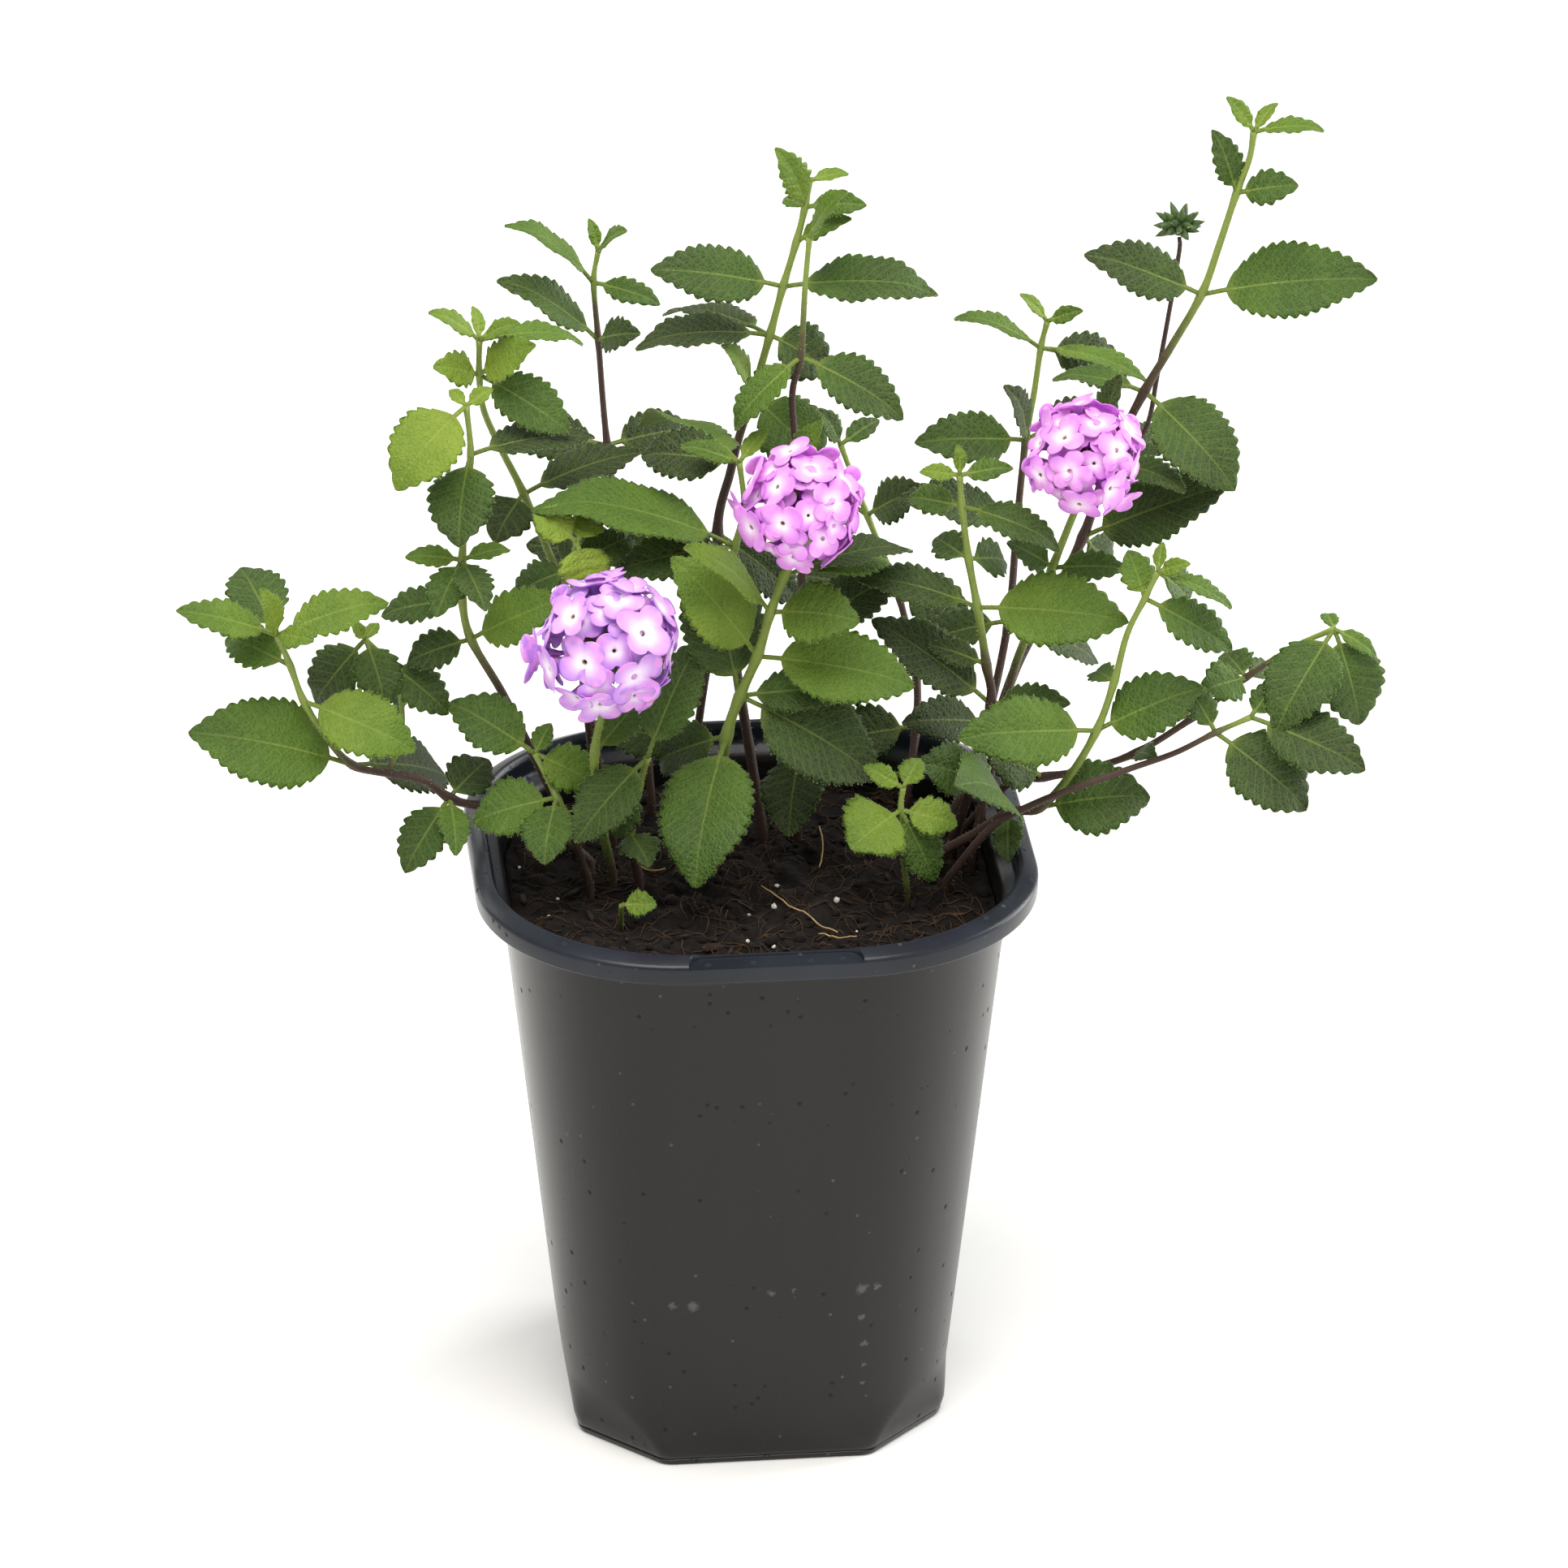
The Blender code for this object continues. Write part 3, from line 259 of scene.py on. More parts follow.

# %% [markdown]
# Each shoot has the half-thickness of its stem at foot and tip, the share of the stem that has
# turned to bark, its joints, and its leaves. A leaf has the joint that it grows from, its tip as
# (across, up, away), how wide it is seen, and its tone from 0, dark, to 9, pale. The tone is partly
# the leaf's age, with old leaves dark and young ones pale, and partly painted shade: leaves that lie
# in shadow deep in the plant or behind it get the darkest tones. Lantana carries its leaves in pairs,
# each pair turned a quarter from the last.

# %% Every shoot, with its joints and its leaves
SHOOTS = [
    {
        "name": "shoot_trailing_left", "radii": (1.3, 0.75), "bark": 0.72,
        "joints": [(-38, -9, 4), (-47, 0.5, 5), (-57, 6, 6), (-65, 6.5, 5), (-70, 8, 4), (-76, 12, 2),
                  (-84, 13.5, 0), (-92, 15.5, -2), (-98, 22, -4), (-103, 30, -5), (-106, 38, -5),
                  (-109, 45, -6)],
        "leaves": [(7, -129, 24, -8, 20, 5), (7, -70, 12.5, 14, 13, 1), (9, -78, 18.5, -14, 15, 7),
                  (4, -80, -9, -6, 11, 3), (4, -68, -5, -8, 7, 5), (4, -61, 17, 12, 11, 2),
                  (10, -121, 45, 6, 10, 5), (11, -132, 50.5, -8, 8, 6), (11, -118, 61, 4, 13, 3),
                  (11, -84, 53.5, -2, 10, 7), (11, -112, 55, -12, 5, 8), (11, -101, 44, -16, 6, 7)],
    },
    {
        "name": "side_shoot_left", "radii": (0.8, 0.6), "bark": 0.1, "parent": ("shoot_trailing_left", 6),
        "joints": [(-81, 21, 6), (-81, 31, 8), (-84, 39, 9), (-89, 44, 8)],
        "leaves": [(3, -84, 29, -2, 11, 3), (3, -101, 29, 8, 12, 2), (2, -70, 27, 4, 10, 3),
                  (2, -79, 28, 14, 8, 3), (3, -92, 48, 6, 3, 8), (3, -86, 48, 8, 3, 7)],
    },
    {
        "name": "shoot_left", "radii": (1.3, 0.7), "bark": 0.45,
        "joints": [(-41, -6, 14), (-46, 8, 12), (-52, 20, 10), (-58, 32, 8), (-65, 44, 6), (-67, 53, 4),
                  (-67, 62, 2), (-66, 74, 4), (-65, 86, 4), (-66, 97, 4)],
        "leaves": [(9, -83, 79, -8, 16, 8), (8, -68.5, 65, -10, 15, 3), (8, -36.5, 90, 16, 8, 1),
                  (9, -60, 101, 6, 4, 8), (9, -70, 101, 8, 3, 8), (4, -44, 53, -2, 12, 6),
                  (4, -80, 39, 14, 9, 2), (6, -73, 49, -8, 9, 4), (6, -62, 51, -8, 8, 3),
                  (5, -86, 50, 8, 8, 3), (6, -80, 63, 2, 5, 6), (6, -56, 65, 6, 4, 6)],
    },
    {
        "name": "shoot_left_tall", "radii": (1.2, 0.7), "bark": 0.4,
        "joints": [(-33, -5, 20), (-36, 15, 22), (-40, 38, 24), (-46, 60, 25), (-53, 77, 24),
                  (-58, 87, 22), (-62, 96, 20), (-63, 104, 18), (-63, 112, 16)],
        "leaves": [(7, -42, 91, 10, 12, 4), (7, -50.5, 110.5, 6, 9, 8), (8, -39, 112.5, 22, 5, 6),
                  (4, -26, 86.5, 32, 9, 1), (4, -60, 66.5, 14, 12, 1), (7, -73, 106, 10, 8, 8),
                  (8, -74, 118.5, 12, 4, 7), (8, -64, 120, 22, 3, 8), (8, -54, 116, 10, 4, 7),
                  (3, -34, 66, 34, 12, 1)],
    },
    {
        "name": "shoot_back_left", "radii": (1.1, 0.6), "bark": 0.8,
        "joints": [(-24, 4, 34), (-26, 30, 42), (-30, 60, 50), (-34, 88, 55), (-36, 112, 58),
                  (-37, 125, 59), (-36, 132, 60)],
        "leaves": [(4, -58, 126, 52, 8, 3), (4, -27, 113.5, 46, 8, 2), (5, -56, 139, 54, 4, 5),
                  (5, -22, 120, 54, 6, 4), (6, -38, 139.5, 62, 3, 6), (6, -30, 137, 55, 3, 6),
                  (2, -52, 66, 46, 13, 1), (2, -10, 68, 60, 12, 1), (3, -58, 91, 60, 11, 1),
                  (3, -14, 92, 66, 11, 1)],
    },
    {
        "name": "stem_front_head", "radii": (1.2, 0.85), "bark": 0.1,
        "joints": [(-33, -11, -2), (-36, 5, -8), (-37, 18, -12), (-35, 28, -15), (-34, 33.5, -17)],
        "leaves": [(2, -26, 30, 2, 9, 4)],
    },
    {
        "name": "shoot_low_left", "radii": (1.0, 0.65), "bark": 0.3,
        "joints": [(-38, -8, -8), (-43, 2, -9), (-45.5, 8, -9), (-48, 13, -6), (-50.5, 18, -4)],
        "leaves": [(2, -65, 3, -8, 13, 5), (2, -49, -7, -20, 12, 4), (4, -70, 30, 2, 13, 4),
                  (4, -36.5, 11, -14, 11, 6), (4, -47, 25, -2, 5, 5)],
    },
    {
        "name": "shoot_front_left", "radii": (1.3, 0.8), "bark": 0.35,
        "joints": [(-27, -12, -5), (-29, 0, -7), (-27, 10, -10), (-25, 17, -12)],
        "leaves": [(3, -42, -2, -22, 13, 3), (3, -13, 44, -2, 13, 3), (1, -25, -7, -20, 9, 3),
                  (2, -33, -1, -14, 8, 3)],
    },
    {
        "name": "shoot_middle", "radii": (1.6, 0.9), "bark": 0.22,
        "joints": [(-10, -9, 4), (-9, 8, 0), (-7, 22, -3), (-4, 31, -4), (0, 40, -6), (3, 50, -8),
                  (6, 58, -9), (8, 63, -10)],
        "leaves": [(2, -15, -12, -30, 21, 4), (4, 36, 34, -10, 17, 6), (3, 28, 13, -8, 20, 2),
                  (4, -19, 62, -8, 16, 7), (3, -14, 64, 14, 19, 2), (3, 22, 32, 2, 10, 3),
                  (5, -16, 65.5, -18, 6, 7), (5, 23, 49, -18, 14, 6), (2, -24, 16, 10, 12, 2),
                  (6, 36, 65, 6, 7, 2), (6, 31, 63, 14, 6, 6)],
    },
    {
        "name": "shoot_middle_tall", "radii": (1.4, 0.75), "bark": 0.52,
        "joints": [(1, -1, 22), (-2, 20, 25), (-6, 45, 27), (-9, 68, 28), (-6, 82, 28), (-4, 90, 27),
                  (-1, 99, 26), (1, 106, 25), (3, 113, 24), (6, 124, 23), (9, 134, 22), (11, 142, 22),
                  (12, 148, 22)],
        "leaves": [(6, 15, 83, 14, 16, 4), (8, -27.5, 111, 18, 8, 1), (8, -22, 119, 32, 5, 1),
                  (8, 17, 105, 10, 13, 2), (9, -24, 128, 18, 13, 3), (9, 41, 123, 18, 11, 3),
                  (11, 5.5, 155.5, 20, 7, 7), (11, 25, 143, 18, 6, 5), (11, 6, 144.5, 28, 4, 6),
                  (10, 21, 140, 14, 5, 6), (12, 21, 150, 24, 3, 7), (6, -7, 110.5, 16, 4, 7),
                  (3, -33, 62, 30, 13, 1), (3, 10, 52, 34, 11, 1)],
    },
    {
        "name": "shoot_middle_second", "radii": (1.2, 0.65), "bark": 0.8,
        "joints": [(9, -3, 18), (10, 20, 15), (10, 45, 13), (10, 75, 14), (8, 98, 14), (10, 108, 14),
                  (11, 124, 14), (12, 135, 15)],
        "leaves": [(5, 34, 95, 8, 12, 3), (5, -6, 92, 8, 8, 5), (7, 20, 146, 8, 4, 6),
                  (2, 33, 60, 22, 12, 1), (1, 7, -1, -2, 14, 1), (3, 13.5, 92.5, 8, 6, 6)],
    },
    {
        "name": "shoot_centre", "radii": (1.2, 0.65), "bark": 0.5,
        "joints": [(-16, -6, 10), (-14, 20, 12), (-10, 45, 13), (-5, 65, 8), (-3, 74, 7), (-4, 84, 7)],
        "leaves": [(3, -50, 76.5, 2, 12, 5), (5, -17, 88, 4, 5, 5), (5, -27, 86, 16, 12, 1),
                  (1, -35, 24, 16, 12, 2), (5, 2, 92, 12, 4, 7), (3, -33, 60, 4, 11, 3),
                  (5, -25, 95, 26, 4, 6)],
    },
    {
        "name": "shoot_light_left", "radii": (1.0, 0.6), "bark": 0.45,
        "joints": [(-37, 0, 22), (-38, 20, 14), (-41, 45, 7), (-42, 60, 1), (-41, 66, -2)],
        "leaves": [(4, -50.5, 73.5, -2, 9, 8), (4, -36.5, 73, 2, 8, 8), (4, -38, 55, -10, 12, 9),
                  (3, -28, 68, 12, 10, 3), (3, -56, 54, 6, 9, 3)],
    },
    {
        "name": "shoot_right", "radii": (1.4, 0.7), "bark": 0.5,
        "joints": [(44, -5, 14), (49, 12, 12), (53, 29, 10), (52, 38, 8), (50, 51, 6), (48, 62, 5),
                  (46.5, 74, 5), (46, 81, 5)],
        "leaves": [(4, 84, 48, -4, 17, 6), (4, 23, 58.5, 2, 9, 2), (6, 69, 65, -2, 8, 3),
                  (6, 34, 76, 10, 7, 4), (7, 37, 82, 4, 4, 7), (7, 58, 83, 3, 5, 5),
                  (7, 46, 88, 6, 3, 7), (2, 26, 48.5, 14, 13, 1), (5, 40, 67, 14, 8, 3),
                  (3, 39, 43, 22, 6, 2), (5, 57, 62, 16, 9, 3), (2, 71, 30, 4, 8, 3),
                  (1, 37, 16, 0, 12, 3)],
    },
    {
        "name": "shoot_back_right", "radii": (1.2, 0.65), "bark": 0.62,
        "joints": [(45, 4, 32), (52, 25, 40), (57, 48, 46), (59, 70, 50), (61, 89, 52), (63, 100, 53),
                  (64.5, 110, 54), (66, 116, 54)],
        "leaves": [(4, 36, 88.5, 44, 12, 3), (6, 85, 104, 60, 12, 1), (6, 89, 103, 44, 5, 6),
                  (6, 45.5, 118, 52, 4, 5), (7, 60, 122.5, 54, 3, 7), (7, 74, 118.5, 50, 4, 5),
                  (4, 80, 97, 66, 10, 2), (1, 33.5, 25, 26, 11, 1), (2, 78, 38, 54, 8, 2),
                  (3, 32.5, 76.5, 40, 10, 2), (2, 34, 42, 54, 10, 2), (4, 57.5, 101.5, 42, 5, 1)],
    },
    {
        "name": "stem_right_head", "radii": (1.3, 0.85), "bark": 0.35,
        "joints": [(49, -5, 9), (53, 15, 15), (58, 36, 17), (63, 49, 16), (67, 60, 13), (71, 70, 8),
                  (73, 75, 4)],
        "leaves": [(4, 84, 60, 8, 7, 4), (4, 57, 66, 4, 7, 3), (1, 46, 10, 0, 10, 3)],
    },
    {
        "name": "shoot_right_tall", "radii": (1.5, 0.75), "bark": 0.62,
        "joints": [(44, 0, 27), (53, 22, 31), (59, 38, 31), (67, 53, 29), (74, 67, 26), (80, 84, 25),
                  (88, 100, 24), (94, 110, 23), (101, 122, 22), (105, 133, 21), (109, 145, 20),
                  (112, 153, 20), (113, 159, 20)],
        "leaves": [(4, 107, 78, 18, 16, 2), (6, 109, 78, 10, 17, 3), (8, 75, 131, 18, 12, 2),
                  (8, 141, 126, 14, 17, 4), (4, 80, 60, 40, 9, 2), (10, 104, 159, 18, 7, 3),
                  (10, 123, 147, 16, 8, 4), (12, 129, 160, 18, 4, 6), (12, 107, 167, 20, 4, 7),
                  (12, 118, 166, 24, 3, 7), (6, 67, 104, 30, 5, 4), (5, 98, 90, 40, 9, 2),
                  (5, 97, 78, 10, 7, 3), (5, 82, 103, 12, 6, 3)],
    },
    {
        "name": "stem_bud", "radii": (0.7, 0.6), "bark": 1.2, "parent": ("shoot_right_tall", 5),
        "joints": [(88, 91, 31), (91, 104, 33), (94, 120, 33), (96, 132, 33)],
        "leaves": [],
    },
    {
        "name": "shoot_front_right", "radii": (1.5, 0.7), "bark": 0.42,
        "joints": [(38, -8, 4), (49, -0.5, 2), (57, 4.5, 0), (64, 5.5, -1), (71, 13, -3), (77, 23, -5),
                  (81, 34, -6), (84, 45, -7), (88, 53, -8), (91, 59, -8)],
        "leaves": [(5, 46, 21, -14, 16, 5), (3, 89, 9, -10, 17, 3), (5, 101, 33, -8, 14, 4),
                  (2, 46, 12, -18, 13, 4), (2, 57, -11.5, -34, 10, 3), (8, 108, 41, -8, 10, 4),
                  (8, 84, 64, -4, 8, 6), (9, 99, 51, 6, 8, 4), (9, 108, 51, -14, 4, 5),
                  (9, 98, 61, -8, 4, 7), (9, 92, 66, -8, 3, 7), (6, 76, 37, 6, 6, 5)],
    },
    {
        "name": "shoot_trailing_right", "radii": (1.3, 0.75), "bark": 0.85,
        "joints": [(47, -2, 21), (57, 11, 16), (65, 12.5, 14), (74, 14, 12), (86, 18, 10), (99, 26, 8),
                  (111, 35, 7), (122, 42, 5), (131, 46, 2)],
        "leaves": [(8, 118, 23, -14, 16, 3), (8, 137, 24, -12, 15, 3), (8, 141, 40, -2, 4, 5),
                  (8, 129, 50, 6, 4, 5), (6, 101, 32, -2, 10, 4), (6, 106, 41, 10, 9, 3),
                  (6, 117, 38, 14, 6, 3), (5, 92, 28, 14, 6, 3), (4, 90, 17, -2, 5, 4),
                  (2, 52, 18, 22, 12, 2)],
    },
    {
        "name": "shoot_low_right", "radii": (1.2, 0.7), "bark": 0.9,
        "joints": [(43, -12, -6), (53, 1, -7), (62, 6, -7), (72, 10, -8), (85, 14.5, -8), (95, 18, -8),
                  (104, 22.5, -8), (112, 26, -9)],
        "leaves": [(6, 125, 5, -16, 17, 2), (6, 97, 34, -2, 7, 3), (7, 138, 14, -18, 14, 2),
                  (7, 118, 34, -6, 6, 3)],
    },
    {
        "name": "shoot_small_right", "radii": (0.8, 0.6), "bark": 0.1,
        "joints": [(34, -16, -12), (33, -6, -13), (32.5, 5, -14), (33, 10, -13)],
        "leaves": [(2, 21, -3.5, -24, 17, 7), (2, 45.5, 1.5, -14, 9, 7), (2, 40, -11.5, -24, 10, 4),
                  (3, 24, 15, -12, 5, 7), (3, 37, 17, -8, 6, 7)],
    },
    {
        "name": "shoot_back_middle", "radii": (1.2, 0.65), "bark": 0.7,
        "joints": [(34, 6, 40), (36, 24, 48), (36, 36, 54), (32, 54, 64), (25, 72, 72), (19, 88, 76)],
        "leaves": [(2, 10, 34, 64, 14, 2), (3, 48, 50, 62, 13, 2), (3, 8, 58, 80, 12, 1),
                  (4, 38, 78.5, 60, 10, 2), (4, 4, 84, 86, 10, 1), (5, 28, 94, 82, 5, 3),
                  (5, 14, 96, 70, 5, 3), (1, 14, 20, 52, 13, 1)],
    },
    {
        "name": "seedling", "radii": (0.6, 0.5), "bark": 0.1,
        "joints": [(-31, -20, -22), (-31, -16.5, -23)],
        "leaves": [(1, -23, -16, -25, 6, 7)],
    },
]

print(len(SHOOTS), "shoots with", sum(len(shoot["leaves"]) for shoot in SHOOTS), "leaves")

# %% [markdown]
# The heads are drawn in the same way. A head has its middle as (across, up, away), the radius of
# its green core and of the whole dome, the number and the half-width of its florets, the seed of
# their chance, and the way it faces. A table keeps all of this in one place.

# %% Every flower head, and the young one still in its bracts
HEADS = [
    {"name": "flower_head_front", "stem": "stem_front_head", "middle": (-34, 42.5, -21), "core": 7.0,
     "reach": 17.7, "florets": 16, "floret": 6.7, "seed": 3, "faces": (0, 0.7, -0.7)},
    {"name": "flower_head_middle", "stem": "shoot_middle", "middle": (9.5, 73.0, -14), "core": 6.0,
     "reach": 15.0, "florets": 16, "floret": 5.8, "seed": 8, "faces": (0.1, 0.7, -0.7)},
    {"name": "flower_head_right", "stem": "stem_right_head", "middle": (74.2, 84.5, 0), "core": 5.6,
     "reach": 14.2, "florets": 16, "floret": 5.5, "seed": 5, "faces": (0.1, 0.7, -0.7)},
]
BUD = {"name": "bud_head", "stem": "stem_bud", "middle": (96, 137.5, 33), "core": 2.4, "reach": 6.5}
print(len(HEADS), "open heads, of", HEADS[0]["florets"], "florets each")

# %% [markdown]
# A leaf's form comes from four directions: its foot on the stem, forward to its tip, sideways
# across the blade, and upper, away from its face. The blade is folded a little along its rib and
# arched along its length. The same functions serve the plain leaves that are tried against their
# neighbours here and the fine ones further on.

# %% The form of a leaf
PETIOLE_SHARE = 0.15
PETIOLE_HALF = 0.75
LEAF_THICK = 1.2
LEAF_GUARD = 0.8
GUARD_SPREAD = 1.05
LEAF_FOLD = 0.15
LEAF_ARCH = 0.07
LEAF_SLENDER = 0.50
LEAF_LEAN = 1.06
BASE_ROUND = 0.62
TIP_ROUND = 0.86
TOOTH_CUT = 0.13


def half_width(share, width):
    """Half the leaf's width at this share of its length, without teeth."""
    if share <= PETIOLE_SHARE:
        return PETIOLE_HALF
    s = (share - PETIOLE_SHARE) / (1 - PETIOLE_SHARE)
    widest = BASE_ROUND / (BASE_ROUND + TIP_ROUND)
    full = widest ** BASE_ROUND * (1 - widest) ** TIP_ROUND
    blade = s ** BASE_ROUND * max(1 - s, 0) ** TIP_ROUND / full
    return max(width / 2 * blade, PETIOLE_HALF * (1 - s))


def leaf_between(shoot, foot, tip, seen_width, roll):
    """A leaf from its foot to its tip, turned about its rib until it is seen as wide as that."""
    length = (tip - foot).length
    forward = (tip - foot).normalized()
    sight = turned(0, -cos(VIEW_TILT), sin(VIEW_TILT))
    edgewise = sight.cross(forward).normalized()
    if edgewise.z < 0:
        edgewise = -edgewise
    facing = edgewise.cross(forward).normalized()
    if facing.dot(sight) < 0:
        facing = -facing
    width = max(seen_width * LEAF_LEAN, LEAF_SLENDER * (1 - PETIOLE_SHARE) * length)
    lean = acos(min(seen_width / width, 1)) + radians(roll)
    upper = facing * cos(lean) + edgewise * sin(lean)
    return {"foot": foot, "width": width, "shoot": shoot,
            "frame": (length, forward, forward.cross(upper), upper)}


def leaf_point(leaf, share, across):
    """A point of the leaf's middle surface, at this share of its length and distance off its rib."""
    length, forward, sideways, upper = leaf["frame"]
    raised = 4 * LEAF_ARCH * length * share * (1 - share) + LEAF_FOLD * abs(across)
    return leaf["foot"] + forward * length * share + sideways * across + upper * raised


def plain_leaf(leaf, thick, spread=1.0):
    """The leaf as a plain closed solid, thick along its rib and sharp at its few teeth."""
    length = leaf["frame"][0]
    upper = leaf["frame"][3]
    teeth = 0 if length < 13 else 2 if length < 20 else 3 if length < 29 else 4
    shares = [0.0, PETIOLE_SHARE]
    cuts = [1.0, 1.0]
    blade = 1 - PETIOLE_SHARE
    if teeth == 0:
        shares += [PETIOLE_SHARE + 0.22 * blade, PETIOLE_SHARE + 0.6 * blade]
        cuts += [1.0, 1.0]
    for tooth in range(teeth):
        shares += [PETIOLE_SHARE + (tooth + 0.55) * blade / (teeth + 0.35),
                   PETIOLE_SHARE + (tooth + 0.85) * blade / (teeth + 0.35)]
        cuts += [1.0, 1 - TOOTH_CUT]
    ribs = [0.0, PETIOLE_SHARE, 0.6] if teeth < 4 else [0.0, PETIOLE_SHARE, 0.45, 0.75]
    vertices = []
    edges = []
    for sign in (1, -1):
        row = []
        for share, cut in zip(shares, cuts):
            row.append(len(vertices))
            half = half_width(share, leaf["width"])
            vertices.append(leaf_point(leaf, share, sign * spread * cut * half))
        edges.append(row)
    rib_rows = []
    for sign in (1, -1):
        row = []
        for share in ribs:
            row.append(len(vertices))
            vertices.append(leaf_point(leaf, share, 0) + upper * sign * thick / 2)
        rib_rows.append(row)
    tip = len(vertices)
    vertices.append(leaf_point(leaf, 1, 0))
    faces = []
    for edge, right in zip(edges, (True, False)):
        for rib, top in zip(rib_rows, (True, False)):
            for triangle in zip_rows(edge + [tip], shares + [1.0], rib + [tip], ribs + [1.0]):
                faces.append(triangle if right == top else triangle[::-1])
    faces.append((edges[0][0], rib_rows[0][0], edges[1][0], rib_rows[1][0]))
    return vertices, faces


def zip_rows(row, places, other, other_places):
    """Triangles between two rows of points that end in the same one."""
    found = []
    i = j = 0
    while row[i] != row[-1] or other[j] != other[-1]:
        next_place = places[i + 1] if i + 1 < len(row) else 9
        other_next = other_places[j + 1] if j + 1 < len(other) else 9
        if next_place <= other_next:
            if row[i + 1] != other[j]:
                found.append((row[i], row[i + 1], other[j]))
            i += 1
        else:
            if row[i] != other[j + 1]:
                found.append((row[i], other[j + 1], other[j]))
            j += 1
    return found


print("a leaf 20 mm wide is", round(2 * half_width(0.5, 20), 1), "mm wide at half its length")

# %% [markdown]
# Leaves of a real plant never pass through each other: each one grows into free space. The same
# holds here. A leaf is tried where it is seen, then a little deeper, rolled or smaller, until it is
# clear of the pot, the stems, the heads and the leaves before it. The order and the steps are those
# that placed the solid leaves, so the outcome is the same.

# %% Growing the plant
STEM_SIDES = 4
STEM_GUARD = 0.4
STEM_FOOT = 3.0
HOLE_DEPTH = 9.0
CLEARANCE = 0.3
SHIFTS = (0, 4, -4, 8, -8, 13, -13, 18, -18)
ROLLS = (0, 20, -20, 40, -40)
SIZES = (1.0, 0.85, 0.7)


def tube(points, radii, sides):
    """A closed tube round the points, as (vertices, faces)."""
    vertices = []
    side = Vector((1, 0, 0))
    for index, point in enumerate(points):
        before = points[max(index - 1, 0)]
        after = points[min(index + 1, len(points) - 1)]
        along = (after - before).normalized()
        side = (side - along * side.dot(along)).normalized()
        other = along.cross(side)
        for corner in range(sides):
            turn = 2 * pi * corner / sides
            vertices.append(point + (side * cos(turn) + other * sin(turn)) * radii[index])
    return vertices, tube_faces(len(points), sides)


def tube_faces(rings, sides):
    """The faces between rings of points, with a cap at each end."""
    faces = []
    for ring in range(rings - 1):
        for corner in range(sides):
            a = ring * sides + corner
            b = ring * sides + (corner + 1) % sides
            faces.append((a, b, b + sides, a + sides))
    faces.append(tuple(reversed(range(sides))))
    faces.append(tuple(range(sides * (rings - 1), sides * rings)))
    return faces


def stem_line(shoot, steps):
    """The shoot's stem as (points, radii), from the bottom of its hole in the soil."""
    points = smooth_curve(shoot["points"], steps)
    low, high = shoot["radii"]
    last = len(points) - 1
    radii = [low + (high - low) * index / last for index in range(last + 1)]
    if "parent" not in shoot:
        foot = Vector((points[0].x, points[0].y, SOIL_LEVEL - HOLE_DEPTH + CLEARANCE))
        points = [foot] + points
        radii = [low] + radii
    return points, radii


def guard_of(solid, owner):
    """What a leaf has to stay clear of: a solid as a search tree, with its box and its owner."""
    vertices, faces = solid
    low = [min(v[axis] for v in vertices) for axis in range(3)]
    high = [max(v[axis] for v in vertices) for axis in range(3)]
    return {"tree": BVHTree.FromPolygons(vertices, faces), "box": (low, high), "owner": owner}


def touches(guard, others):
    """Whether the guard's surface cuts one of the others."""
    low, high = guard["box"]
    for other in others:
        other_low, other_high = other["box"]
        apart = any(low[a] > other_high[a] or other_low[a] > high[a] for a in range(3))
        if not apart and guard["tree"].overlap(other["tree"]):
            return True
    return False


def blade_only(leaf):
    """The leaf's blade without its petiole, which may meet its neighbours at the joint."""
    vertices, faces = plain_leaf(leaf, LEAF_THICK + LEAF_GUARD, GUARD_SPREAD)
    length, forward = leaf["frame"][0], leaf["frame"][1]
    outer = [f for f in faces
             if min((vertices[i] - leaf["foot"]).dot(forward) for i in f) > 0.9 * PETIOLE_SHARE * length]
    return vertices, outer


def place_leaf(shoot, row, others, siblings):
    """The first of the leaf's positions that is clear of all that is there already."""
    joint, across, up, away, width, tone = row
    foot = shoot["points"][joint]
    for size in SIZES:
        for roll in ROLLS:
            for shift in SHIFTS:
                tip = foot + (seen(across, up, away + shift) - foot) * size
                leaf = leaf_between(shoot["name"], foot, tip, width * size, roll)
                whole = guard_of(plain_leaf(leaf, LEAF_THICK + LEAF_GUARD, GUARD_SPREAD), shoot["plant"])
                if touches(whole, others):
                    continue
                blade = guard_of(blade_only(leaf), shoot["plant"])
                if not touches(blade, siblings):
                    return {**leaf, "tone": tone / 9}, whole, blade
    return None


print("a leaf has", len(SIZES) * len(ROLLS) * len(SHIFTS), "positions to try")

# %% [markdown]
# Round the leaves stand the pot and the heads. For the trial they are rough: a square ring with
# round corners, and a ball of eight sides. The pot's wall leans outward from foot to rim, and its
# corners are rounder at the rim than below.

# %% The pot's outline and the rough shapes that leaves stay clear of
RIM_HALF = 63.7
RIM_CORNER = 46.0
BODY_LOW_HALF = 43.6
BODY_LOW_CORNER = 31.5
BODY_TOP_HALF = 57.0
NOTCH_HEIGHT = 5.6
SHOULDER_HEIGHT = 131.6
SKIRT_LOW = 133.9
ROUGH_STEPS = 5


def body_half(height):
    """Half the width of the pot's outer wall at this height."""
    share = (height - NOTCH_HEIGHT) / (SHOULDER_HEIGHT - NOTCH_HEIGHT)
    return BODY_LOW_HALF + (BODY_TOP_HALF - BODY_LOW_HALF) * share


def corner_of(half):
    """The corner radius of the ring with this half-width."""
    share = (half - BODY_LOW_HALF) / (RIM_HALF - BODY_LOW_HALF)
    return BODY_LOW_CORNER + (RIM_CORNER - BODY_LOW_CORNER) * share


def past_ring(point, half):
    """How far a point lies outside a square with round corners, and less than 0 inside it."""
    corner = corner_of(half)
    middle = half - corner
    off = Vector((max(abs(point.x) - middle, 0), max(abs(point.y) - middle, 0)))
    return off.length - corner


